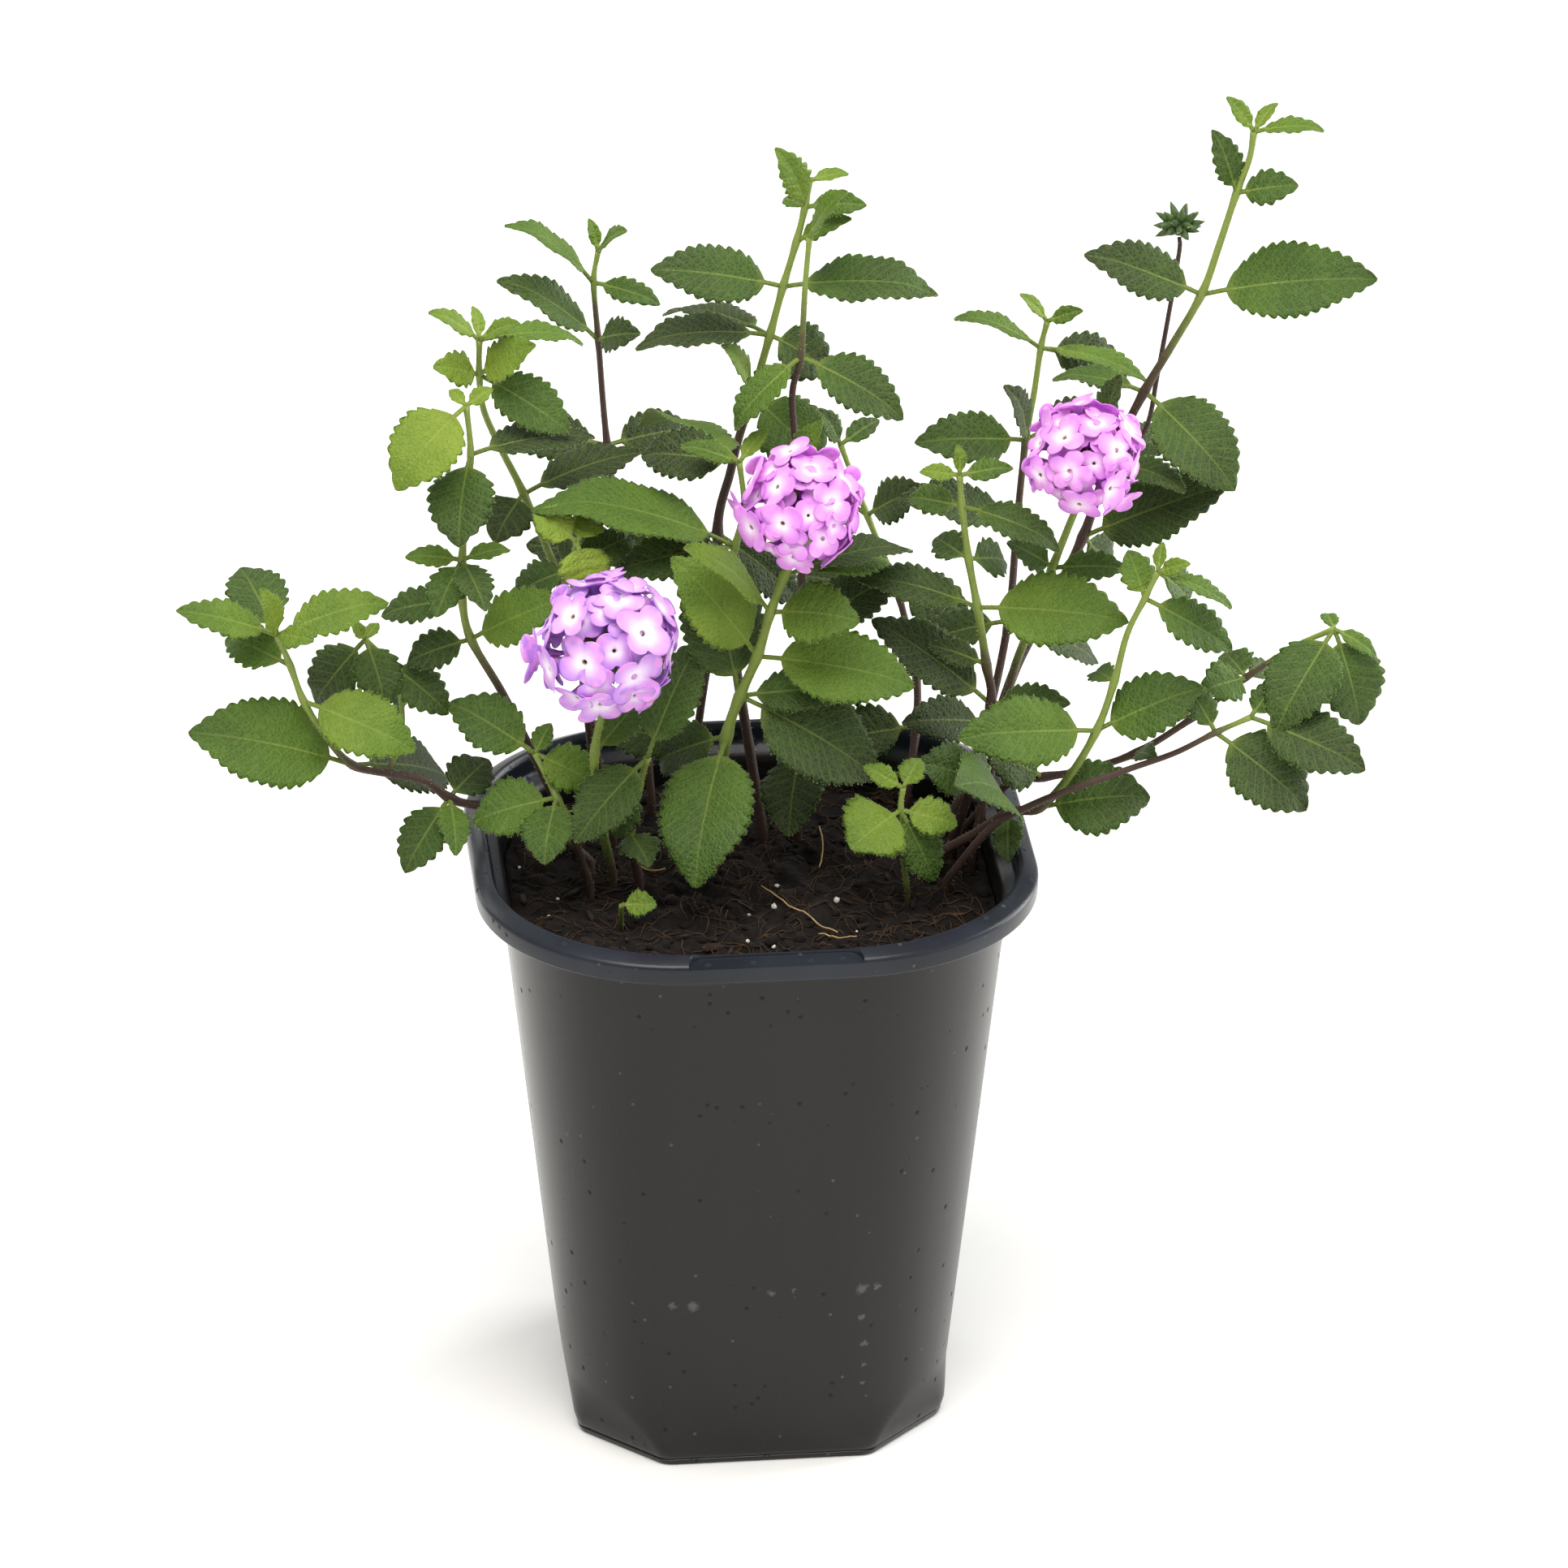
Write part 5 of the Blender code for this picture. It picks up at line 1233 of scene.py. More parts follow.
def fine_floret(place, apex, chance):
    """A floret as (points, faces, marks). Its place is its middle, its outward direction and its size."""
    middle, out, size = place
    side = out.orthogonal().normalized()
    other = out.cross(side)
    lobes = 5 if chance.random() < 0.3 else 4
    first = chance.uniform(0, 2 * pi)
    uneven = chance.uniform(0.05, 0.22)
    cup = chance.uniform(-0.10, 0.22)
    lift = [chance.uniform(-0.20, 0.16) for _ in range(lobes)]
    reach = [chance.uniform(0.84, 1.10) for _ in range(lobes)]
    ruffle = chance.uniform(0, 2 * pi)
    axes = np.array([side, other, out])
    turn = np.linspace(0, 2 * pi, FLORET_AROUND, endpoint=False)
    warped = turn + uneven * np.sin(turn + first)
    beat = warped * lobes / (2 * pi)
    which = np.round(beat).astype(int) % lobes
    round_lobe = np.abs(np.cos(beat * pi)) ** LOBE_ROUND
    outline = LOBE_NOTCH + (1 - LOBE_NOTCH) * round_lobe * np.array(reach)[which]
    raised = np.array(lift)[which] * round_lobe

    def limb(share, drop):
        flat = size * share * (1 - (1 - outline) * share ** 1.5)
        height = size * (cup * share ** 2 + raised * share ** 2.2 - 0.06 * np.exp(-(share / 0.2) ** 2))
        height += size * PETAL_RUFFLE * share ** 3 * np.sin(3 * turn + ruffle) - drop
        height -= size * NOTCH_SINK * (1 - round_lobe) * share
        ring = np.stack([flat * np.cos(turn), flat * np.sin(turn), height], axis=1)
        return ring @ axes + np.array(middle)

    root = np.array(apex)
    length = (Vector(middle) - Vector(apex)).length
    rings = []
    shares = []
    for step in range(3):
        t = step / 3
        centre = root + (np.array(middle) - np.array(out) * length * 0.12 - root) * t
        radius = TUBE_RADIUS * (0.8 + 0.5 * t)
        circle = np.stack([radius * np.cos(turn), radius * np.sin(turn), 0 * turn], axis=1)
        rings.append(circle @ axes + centre)
        shares.append(np.full(FLORET_AROUND, 1.2))
    for share in reversed(UNDER_RINGS):
        rings.append(limb(share, PETAL_THICK))
        shares.append(np.full(FLORET_AROUND, 1.0 + 0.1 * (1 - share)))
    for share in reversed(PETAL_RINGS):
        rings.append(limb(share, 0.0))
        shares.append(np.full(FLORET_AROUND, share))
    throat = size * THROAT_SHARE
    for radius, deep, share in ((throat, 0.10, 0.08), (throat * 0.7, 0.30, 0.0)):
        circle = np.stack([radius * np.cos(turn), radius * np.sin(turn), 0 * turn - size * deep], axis=1)
        rings.append(circle @ axes + np.array(middle))
        shares.append(np.full(FLORET_AROUND, share))
    marks = {"petal_share": np.concatenate(shares), "petal_own": chance.random()}
    return np.concatenate(rings), tube_faces(len(rings), FLORET_AROUND), marks


print("a floret has", len(tube_faces(15, FLORET_AROUND)), "faces")

# %% [markdown]
# Petals are thin, soft and wet inside, so they glow a little and have almost no gloss. The colour
# runs along each floret: near black deep in the throat, which is painted shade in the narrow tube,
# yellow-brown at its mouth, white round it, then pink or lilac with a deeper edge, and patches of a
# warmer pink wander over the lobes. The front head is lilac with larger white eyes, and the two
# others are a stronger pink with small ones, so one function makes each finish from its colours.

# %% Petal finish
PETAL_CLOUD = 2.2 * MM
PETAL_VEIN = 0.45 * MM
BLUSH_SIZE = 3.2 * MM


def petal_finish(name, eye, body, edge, blush, eye_reach):
    """Petal tissue with a white eye that reaches this far, a deeper edge and patches that blush."""
    finish, tree, shader = new_finish(name, {
        "Roughness": 0.6, "IOR": 1.42, "Specular IOR Level": 0.3, "Subsurface Weight": 0.30,
        "Subsurface Radius": (1.0, 0.7, 1.0), "Subsurface Scale": 0.8 * MM})
    out = add_node(tree, "Attribute", {"attribute_name": "petal_share"}).outputs["Fac"]
    own = add_node(tree, "Attribute", {"attribute_name": "petal_own"}).outputs["Fac"]
    where = add_node(tree, "TexCoord").outputs["Object"]
    cloud = add_node(tree, "TexNoise", None, {"Vector": where, "Scale": 1 / PETAL_CLOUD, "Detail": 2.0})
    shift = add_node(tree, "MapRange", None,
                     {"Value": cloud.outputs["Fac"], "To Min": -0.11, "To Max": 0.11})
    far = add_node(tree, "Math", GREATER, {0: out, 1: 0.2})
    shift = add_node(tree, "Math", MULTIPLY, {0: shift.outputs["Result"], 1: far.outputs[0]})
    share = add_node(tree, "Math", ADD, {0: out, 1: shift.outputs[0]})
    colour = add_node(tree, "ValToRGB", None, {"Fac": share.outputs[0]})
    # The near black first stop is painted shade deep in the narrow tube; the yellow-brown one is the
    # throat's own colour.
    set_stops(colour, [(0.02, "4a3527"), (0.07, "a58c70"), (0.12, eye), (eye_reach, eye),
                       (eye_reach + 0.42, body), (1.0, edge)])
    deeper = add_node(tree, "MapRange", None, {"Value": own, "To Min": 0.0, "To Max": 0.35})
    outer = add_node(tree, "MapRange", None, {"Value": out, "From Min": 0.3, "From Max": 0.8})
    tint = add_node(tree, "Math", MULTIPLY, {0: deeper.outputs["Result"], 1: outer.outputs["Result"]})
    tinted = add_node(tree, "Mix", COLOURS,
                      {"Factor": tint.outputs[0], 6: colour.outputs["Color"], 7: linear(edge)})
    patch = add_node(tree, "TexNoise", None, {"Vector": where, "Scale": 1 / BLUSH_SIZE})
    patch = add_node(tree, "MapRange", SMOOTH,
                     {"Value": patch.outputs["Fac"], "From Min": 0.46, "From Max": 0.62, "To Max": 0.8})
    patch = add_node(tree, "Math", MULTIPLY, {0: patch.outputs["Result"], 1: outer.outputs["Result"]})
    blushed = add_node(tree, "Mix", COLOURS,
                       {"Factor": patch.outputs[0], 6: tinted.outputs[2], 7: linear(blush)})
    tree.links.new(blushed.outputs[2], shader.inputs["Base Color"])
    fine = add_node(tree, "TexNoise", None, {"Vector": where, "Scale": 1 / PETAL_VEIN})
    bump = add_node(tree, "Bump", None,
                    {"Height": fine.outputs["Fac"], "Strength": 0.3, "Distance": 0.05 * MM})
    tree.links.new(bump.outputs["Normal"], shader.inputs["Normal"])
    return finish


lilac = petal_finish("lantana_petal_lilac", "f6e9fa", "dcaaee", "bd8ae6", "eea6ea", 0.20)
pink = petal_finish("lantana_petal_pink", "f6e2f6", "e6a0ea", "d080e0", "f0a4ea", 0.14)
petals = {"flower_head_front": lilac, "flower_head_middle": pink, "flower_head_right": pink}
print("petal finishes:", lilac.name, "and", pink.name)

# %% [markdown]
# The florets stand on a spiral over the dome, each a golden turn on from the last, which is how the
# plant itself spaces them. Size, tilt and distance vary a little by a seeded chance. Between them
# shows the dark green cushion of calyces and unopened buds, and below the dome narrow green bracts
# ring the stem.

# %% Flower heads
GOLDEN_TURN = pi * (3 - sqrt(5))
FLORET_LOOSE = 0.12
FLORET_STRAY = 0.20
HEAD_TILT = radians(112)
CALYX_COUNT = 46
INNER_COUNT = 24
BRACT_COUNT = 8
CALYX_BARK = 0.15
CALYX_RADII = (0.9, 1.1, 0.75, 0.1)
BRACT_RADII = (0.9, 1.2, 0.7, 0.1)


def on_dome(head, share, turn):
    """The direction out of the head at this share of its dome's area and this turn about its axis."""
    axis = (seen(*head["faces"]) - seen(0, 0, 0)).normalized()
    side = axis.orthogonal().normalized()
    other = axis.cross(side)
    tilt = 2 * asin(sin(HEAD_TILT / 2) * sqrt(share))
    return axis * cos(tilt) + (side * cos(turn) + other * sin(turn)) * sin(tilt)


def pointing(tilt, turn):
    """The direction at this tilt off straight up and this turn about it."""
    return Vector((sin(tilt) * cos(turn), sin(tilt) * sin(turn), cos(tilt)))


def floret_places(head):
    """The middle, the outward direction and the size of each floret, on a spiral over the dome."""
    middle = seen(*head["middle"])
    count = head["florets"]
    chance = Random(head["seed"])
    places = []
    for index in range(count):
        out = on_dome(head, (index + 0.4) / count, GOLDEN_TURN * index)
        size = head["floret"] * (1 + FLORET_LOOSE * chance.uniform(-1, 0.6))
        distance = sqrt(head["reach"] ** 2 - size ** 2) * (1 - FLORET_LOOSE * chance.random())
        loose = Vector([chance.uniform(-1, 1) for _ in range(3)]) * FLORET_LOOSE
        places.append((middle + out * distance, (out + loose).normalized(), size))
    return places


def inner_places(head, chance):
    """Smaller florets under the others, on a spiral of their own, which fill the gaps between them."""
    middle = seen(*head["middle"])
    places = []
    for index in range(INNER_COUNT):
        out = on_dome(head, index / INNER_COUNT, -GOLDEN_TURN * index + 1.0)
        size = head["floret"] * chance.uniform(0.72, 0.86)
        places.append((middle + out * head["reach"] * chance.uniform(0.74, 0.86), out, size))
    return places


def spindle(foot, tip, radii, sides=6):
    """A small closed form from foot to tip, with these radii along it."""
    points = [foot.lerp(tip, index / (len(radii) - 1)) for index in range(len(radii))]
    return tube(points, radii, sides)


def make_head(head):
    chance = Random(head["seed"] * 7)
    pile = Pile()
    middle = seen(*head["middle"])
    stalk_end = shoots[head["stem"]]["points"][-1]
    core = head["core"]
    pile.add(*rough_ball(middle, core * 0.8, 20, 14), finish=1, bark=CALYX_BARK)
    for index in range(CALYX_COUNT):
        tilt = acos(1 - 2 * (index + 0.5) / CALYX_COUNT)
        out = pointing(tilt, GOLDEN_TURN * index)
        tip = middle + out * (core * chance.uniform(1.0, 1.35))
        pile.add(*spindle(middle + out * core * 0.5, tip, CALYX_RADII), finish=1, bark=CALYX_BARK)
    for place, out, size in floret_places(head) + inner_places(head, chance):
        stray = Vector([chance.uniform(-1, 1) for _ in range(3)]) * FLORET_STRAY
        place = place + out * chance.uniform(-0.9, 0.5)
        apex = middle + (place - middle).normalized() * core * 0.45
        points, faces, marks = fine_floret((place, (out + stray).normalized(), size), apex, chance)
        pile.add(points, faces, finish=0, **marks)
    down = (stalk_end - middle).normalized()
    side = down.orthogonal().normalized()
    other = down.cross(side)
    for index in range(BRACT_COUNT):
        turn = 2 * pi * index / BRACT_COUNT
        out = side * cos(turn) + other * sin(turn)
        foot = middle + down * core * 0.75
        tip = foot + out * core * chance.uniform(0.7, 0.95) + down * core * chance.uniform(-0.1, 0.2)
        pile.add(*spindle(foot, tip, BRACT_RADII), finish=1, bark=CALYX_BARK)
    obj = pile.object(head["name"] + "_open", [petals[head["name"]], stem_bark])
    dress(obj, head["name"])


for head in HEADS:
    make_head(head)

# %% [markdown]
# The young head at the top right has no floret open yet. It is a tuft of pointed, dark green
# bracts, edged with hairs, round the first buds.

# %% Young head
BUD_BRACTS = 26
BUD_RADII = (0.7, 1.05, 0.95, 0.6, 0.08)
BUD_OPEN = radians(105)
BRACT_CLOUD = 1.5 * MM


def bract_finish():
    """Bract tissue: dark green, dull and hairy."""
    finish, tree, shader = new_finish("lantana_bract_dark", {"Roughness": 0.65, "IOR": 1.45})
    where = add_node(tree, "TexCoord").outputs["Object"]
    cloud = add_node(tree, "TexNoise", None, {"Vector": where, "Scale": 1 / BRACT_CLOUD, "Detail": 3.0})
    colour = add_node(tree, "ValToRGB", None, {"Fac": cloud.outputs["Fac"]})
    set_stops(colour, [(0.3, "2d3d22"), (0.55, "47602f"), (0.8, "6d8444")])
    tree.links.new(colour.outputs["Color"], shader.inputs["Base Color"])
    bump = add_node(tree, "Bump", None,
                    {"Height": cloud.outputs["Fac"], "Strength": 0.5, "Distance": 0.1 * MM})
    tree.links.new(bump.outputs["Normal"], shader.inputs["Normal"])
    return finish


def make_bud(head):
    chance = Random(11)
    pile = Pile()
    middle = seen(*head["middle"])
    reach = head["reach"]
    pile.add(*rough_ball(middle, head["core"] * 0.9, 16, 10), finish=0)
    for index in range(BUD_BRACTS):
        out = pointing(BUD_OPEN * sqrt((index + 0.5) / BUD_BRACTS), GOLDEN_TURN * index)
        tip = middle + out * reach * chance.uniform(0.78, 1.0)
        pile.add(*spindle(middle + out * reach * 0.15, tip, BUD_RADII, 5), finish=0)
        for _ in range(6):
            root = middle + out * reach * chance.uniform(0.4, 0.9) + out.orthogonal() * 0.5
            stray = Vector([chance.uniform(-1, 1) for _ in range(3)])
            pile.add(*hair(root, (out + stray).normalized(), chance.uniform(0.8, 1.2)), finish=1)
    obj = pile.object(head["name"] + "_bracts", [bract_dark, hair_pale])
    dress(obj, head["name"])


bract_dark = bract_finish()
make_bud(BUD)

# %% [markdown]
# The pot is blown or injection moulded from recycled polypropylene: near black, half glossy, with a
# thin wall, a rolled rim that stiffens it, a foot whose corners are cut off and run up into the
# round ones over a centimetre, and drain holes. Rings of points are laid up its outside, over the
# rim and down the inside, as a lathe would, but each ring is a square with round corners. Sharp
# bends in that profile are rounded by small arcs, so that the edges catch the light.

# %% The pot's profile
WALL = 1.5
FOOT_HALF = 42.7
FOOT_FLAT = 24.2
FOOT_ROUND = 5.0
FOOT_BLEND = 15.0
FLOOR_THICKNESS = 6.5
CORNER_STEPS = 26
FLAT_STEPS = 6
BEND_STEPS = 4


def fine_ring(half, height):
    """A ring of many points round a square with round corners."""
    corner = corner_of(half)
    middle = half - corner
    points = []
    for quarter in range(4):
        spin = Matrix.Rotation(pi / 2 * quarter, 3, "Z")
        for step in range(CORNER_STEPS + 1):
            turn = pi / 2 * step / CORNER_STEPS
            points.append(spin @ Vector((middle + corner * cos(turn), middle + corner * sin(turn), height)))
        for step in range(1, FLAT_STEPS):
            points.append(spin @ Vector((middle - 2 * middle * step / FLAT_STEPS, half, height)))
    return points


def foot_ring(half, flat, height):
    """A ring of as many points round a square with its corners cut off, and the cuts rounded."""
    points = []
    radius = FOOT_ROUND
    inset = radius / cos(pi / 8)
    for quarter in range(4):
        spin = Matrix.Rotation(pi / 2 * quarter, 3, "Z")
        for corner, start in ((Vector((half, flat)), 0.0), (Vector((flat, half)), pi / 4)):
            bisector = start + pi / 8
            centre = corner - Vector((cos(bisector), sin(bisector))) * inset
            for step in range(CORNER_STEPS // 2 + (1 if start else 0)):
                turn = start + pi / 4 * step / (CORNER_STEPS // 2)
                x, y = centre.x + radius * cos(turn), centre.y + radius * sin(turn)
                points.append(spin @ Vector((x, y, height)))
        for step in range(1, FLAT_STEPS):
            points.append(spin @ Vector((flat - 2 * flat * step / FLAT_STEPS, half, height)))
    return points


def rounded_profile(corners):
    """The profile's points as (half, height), with an arc in place of each corner's sharp bend."""
    points = []
    for index, (half, height, radius) in enumerate(corners):
        here = Vector((half, height))
        if radius == 0 or index in (0, len(corners) - 1):
            points.append(here)
            continue
        before = Vector(corners[index - 1][:2])
        after = Vector(corners[index + 1][:2])
        cut = min(radius, (before - here).length * 0.45, (after - here).length * 0.45)
        start = here + (before - here).normalized() * cut
        end = here + (after - here).normalized() * cut
        for step in range(BEND_STEPS + 1):
            t = step / BEND_STEPS
            points.append(start.lerp(here, t).lerp(here.lerp(end, t), t))
    return points


PROFILE = [
    (body_half(FOOT_BLEND), FOOT_BLEND, 0),
    (BODY_TOP_HALF, SHOULDER_HEIGHT, 1.5), (60.3, 133.4, 0.6), (60.5, 136.6, 0.5), (62.0, 136.6, 0.5),
    (62.2, SKIRT_LOW, 0.3), (63.5, SKIRT_LOW, 0.6), (RIM_HALF, 138.3, 0.9), (59.9, POT_HEIGHT, 0.8),
    (59.1, 138.6, 0.8), (58.9, 134.8, 0.8), (BODY_TOP_HALF - WALL, 132.4, 1.5),
    (body_half(FLOOR_THICKNESS) - WALL, FLOOR_THICKNESS, 0)]
outline = rounded_profile(PROFILE)
print("the pot's profile has", len(outline), "points, and a ring has", len(fine_ring(60, 0)))

# %% [markdown]
# Moulded polypropylene is a dull plastic with a faint skin of gloss, an IOR near 1.49. Up close it
# has the texture of the mould, flow streaks, dust and the pale marks of dried water. The outer skin
# also has a few pits, which show as dark specks where the side turns away and mirrors the light.

# %% Pot plastic
TEXTURE_SIZE = 0.35 * MM
SPECK_SPACING = 2.8 * MM
FLOW_SIZE = 18 * MM
STAIN_RAGGED = 2.4 * MM
STAIN_GRAIN = 1.1 * MM
STAIN_STRENGTH = 0.24
STAINS = [(-19.5, -107.5, 1.0), (-14.8, -107.5, 1.3), (3.0, -104.5, 0.9), (8.0, -104.0, 0.7),
          (23.5, -103.5, 1.4), (27.0, -103.0, 0.9), (23.5, -110.0, 0.9), (24.0, -116.0, 0.8),
          (24.0, -121.0, 0.7), (23.5, -125.0, 0.7)]


def seen_on_front(across, up):
    """The point of the pot's front wall that is seen there, by halving the stretch in which it lies."""
    plane = on_sight_line(across, up)
    near, far = 0.85, 1.03
    for _ in range(40):
        share = (near + far) / 2
        point = turned(*(EYE + (plane - EYE) * share))
        if past_ring(point, body_half(point.z)) > 0:
            near = share
        else:
            far = share
    return point


def plastic_finish():
    """Recycled black polypropylene, moulded: dull gloss, dust, pits and dried water."""
    finish, tree, shader = new_finish("polypropylene_black_moulded", {
        "IOR": 1.49, "Specular IOR Level": 0.31})
    where = add_node(tree, "TexCoord").outputs["Object"]
    parts = add_node(tree, "SeparateXYZ", None, {0: where})
    long_streaks = add_node(tree, "Mapping", None, {"Vector": where, "Scale": (1.0, 1.0, 0.12)})
    flow = add_node(tree, "TexNoise", None,
                    {"Vector": long_streaks.outputs["Vector"], "Scale": 1 / FLOW_SIZE, "Detail": 4.0})
    body = add_node(tree, "ValToRGB", None, {"Fac": flow.outputs["Fac"]})
    set_stops(body, [(0.35, "0f0f0f"), (0.7, "141313")])
    rim = add_node(tree, "ValToRGB", None, {"Fac": flow.outputs["Fac"]})
    set_stops(rim, [(0.35, "171b22"), (0.7, "21262f")])
    at_rim = add_node(tree, "MapRange", None,
                      {"Value": parts.outputs["Z"], "From Min": 133.0 * MM, "From Max": 133.8 * MM})
    base = add_node(tree, "Mix", COLOURS,
                    {"Factor": at_rim.outputs["Result"], 6: body.outputs["Color"], 7: rim.outputs["Color"]})

    wander = add_node(tree, "TexNoise", None, {"Vector": where, "Scale": 1 / STAIN_GRAIN})
    ragged = add_node(tree, "VectorMath", MULTIPLY_ADD,
                      {0: wander.outputs["Color"], 1: (STAIN_RAGGED,) * 3, 2: where})
    stain = None
    for across, up, size in STAINS:
        spot = seen_on_front(across, up) * MM
        gap = add_node(tree, "VectorMath", {"operation": "DISTANCE"},
                       {0: ragged.outputs["Vector"], 1: tuple(value + STAIN_RAGGED / 2 for value in spot)})
        mark = add_node(tree, "MapRange", SMOOTH,
                        {"Value": gap.outputs["Value"], "From Min": size * 0.3 * MM,
                         "From Max": size * 1.3 * MM, "To Min": STAIN_STRENGTH, "To Max": 0.0})
        if stain is None:
            stain = mark.outputs["Result"]
        else:
            stain = add_node(tree, "Math", MAXIMUM,
                             {0: stain, 1: mark.outputs["Result"]}).outputs[0]
    specks = add_node(tree, "TexVoronoi", {"feature": "F1"},
                      {"Vector": where, "Scale": 1 / SPECK_SPACING})
    pick = add_node(tree, "SeparateColor", None, {0: specks.outputs["Color"]})
    small = add_node(tree, "MapRange", None,
                     {"Value": specks.outputs["Distance"], "From Min": 0.08, "From Max": 0.19,
                      "To Min": 1.0, "To Max": 0.0})
    chosen = add_node(tree, "Math", GREATER, {0: pick.outputs[0], 1: 0.90})
    dust = add_node(tree, "Math", MULTIPLY, {0: small.outputs["Result"], 1: chosen.outputs[0]})
    pale = add_node(tree, "Math", MULTIPLY, {0: dust.outputs[0], 1: 0.18})
    marks = add_node(tree, "Math", MAXIMUM, {0: pale.outputs[0], 1: stain})
    marked = add_node(tree, "Mix", COLOURS,
                      {"Factor": marks.outputs[0], 6: base.outputs[2], 7: linear("8b8984")})
    tree.links.new(marked.outputs[2], shader.inputs["Base Color"])

    grain = add_node(tree, "TexNoise", None,
                     {"Vector": where, "Scale": 1 / TEXTURE_SIZE, "Detail": 2.0})
    wide = add_node(tree, "MapRange", None,
                    {"Value": specks.outputs["Distance"], "From Min": 0.12, "From Max": 0.30,
                     "To Min": 1.0, "To Max": 0.0})
    pits = add_node(tree, "Math", GREATER, {0: pick.outputs[1], 1: 0.87})
    pits = add_node(tree, "Math", MULTIPLY, {0: pits.outputs[0], 1: wide.outputs["Result"]})
    sunk = add_node(tree, "Math", MULTIPLY_ADD, {0: pits.outputs[0], 1: -3.0, 2: grain.outputs["Fac"]})
    bump = add_node(tree, "Bump", None,
                    {"Height": sunk.outputs[0], "Strength": 0.35, "Distance": 0.06 * MM})
    tree.links.new(bump.outputs["Normal"], shader.inputs["Normal"])
    rough = add_node(tree, "MapRange", None,
                     {"Value": flow.outputs["Fac"], "To Min": 0.22, "To Max": 0.34})
    dull = add_node(tree, "Math", MAXIMUM, {0: marks.outputs[0], 1: pits.outputs[0]})
    rougher = add_node(tree, "Math", MULTIPLY_ADD,
                       {0: dull.outputs[0], 1: 0.5, 2: rough.outputs["Result"]})
    tree.links.new(rougher.outputs[0], shader.inputs["Roughness"])
    return finish


pot_plastic = plastic_finish()
print("the first water mark lies at", [round(v, 1) for v in seen_on_front(*STAINS[0][:2])])

# %% [markdown]
# The pot is one closed skin of those rings. The drain holes and the ledge for a label are cut from
# it by one Boolean, where the real pot's mould has pins and a raised block. The surface is shaded
# smooth, except where it bends more sharply than the limit below.

# %% The pot
FOOT_PROFILE = [(1.9, 0.0), (1.1, 0.25), (0.7, 0.9), (0.55, 1.5), (0.75, 1.7), (0.5, 1.9), (0.2, 3.0)]
BLEND_STEPS = 8
FLAT_PER_INSET = 0.6
FLAT_PER_BLEND = 0.4
DRAIN_PLACE = 27.0
DRAIN_RADIUS = 3.6
DRAIN_SIDES = 32
LABEL_LENGTH = 39.0
LABEL_DEPTH = 4.2
LABEL_STEP = 2.0
LABEL_CORNER = 3.6
LABEL_FLARE = 0.6
LABEL_SLOPE = 0.22
SHARP_BEND = radians(38)


def blend_ring(share):
    """A ring between the foot with its cut corners and the body with its round ones."""
    height = FOOT_PROFILE[-1][1] + (FOOT_BLEND - FOOT_PROFILE[-1][1]) * share
    half = FOOT_HALF + (body_half(FOOT_BLEND) - FOOT_HALF) * share
    soft = share * share * (3 - 2 * share)
    cut = foot_ring(half, FOOT_FLAT + (half - FOOT_HALF) * FLAT_PER_BLEND, height)
    return [a.lerp(b, soft) for a, b in zip(cut, fine_ring(half, height))]


def label_slot():
    """What is cut from the rim's front for a label: flared, with round inner corners and a sloping bed."""
    rings = []
    levels = ((0.0, POT_HEIGHT - LABEL_STEP), (0.0, POT_HEIGHT - 0.7), (LABEL_FLARE, POT_HEIGHT + 0.4))
    for flare, height in levels:
        half = LABEL_LENGTH / 2 + flare
        deep = LABEL_DEPTH + 1 + flare
        ring = [(-half, 0), (half, 0)]
        for start, sign in ((0, 1), (1, -1)):
            for step in range(7):
                turn = pi / 2 * (start + step / 6)
                ring.append((sign * (half - LABEL_CORNER) + LABEL_CORNER * cos(turn),
                             deep - LABEL_CORNER + LABEL_CORNER * sin(turn)))
        slope = 0.0 if rings else LABEL_SLOPE
        rings.append([Vector((x, -RIM_HALF - 1 + y, height + slope * (y - deep / 2))) for x, y in ring])
    return lathe(rings)


def cut_away(obj, solids):
    """Cuts the solids from the object by one Boolean on a collection."""
    group = bpy.data.collections.new("cutters")
    bpy.context.scene.collection.children.link(group)
    for solid in solids:
        pile = Pile()
        pile.add(*solid)
        cutter = pile.object("cutter", [], smooth=False)
        bpy.context.scene.collection.objects.unlink(cutter)
        group.objects.link(cutter)
    boolean = obj.modifiers.new("cut", "BOOLEAN")
    boolean.operand_type = "COLLECTION"
    boolean.collection = group
    boolean.operation = "DIFFERENCE"
    boolean.solver = "EXACT"
    bpy.context.view_layer.objects.active = obj
    bpy.ops.object.modifier_apply(modifier="cut")
    for cutter in list(group.objects):
        bpy.data.objects.remove(cutter)
    bpy.data.collections.remove(group)


def make_pot():
    pile = Pile()
    rings = [foot_ring(FOOT_HALF - inset, FOOT_FLAT - inset * FLAT_PER_INSET, height)
             for inset, height in FOOT_PROFILE]
    rings += [blend_ring(step / BLEND_STEPS) for step in range(1, BLEND_STEPS)]
    rings += [fine_ring(half, height) for half, height in outline]
    pile.add(*lathe(rings))
    pot = pile.object("pot_moulded", [pot_plastic])
    drains = []
    for x in (-DRAIN_PLACE, DRAIN_PLACE):
        for y in (-DRAIN_PLACE, DRAIN_PLACE):
            ends = [Vector((x, y, -2)), Vector((x, y, FLOOR_THICKNESS + 2))]
            drains.append(tube(ends, [DRAIN_RADIUS] * 2, DRAIN_SIDES))
    cut_away(pot, drains + [label_slot()])
    pot.data.set_sharp_from_angle(angle=SHARP_BEND)
    dress(pot, "pot")


make_pot()

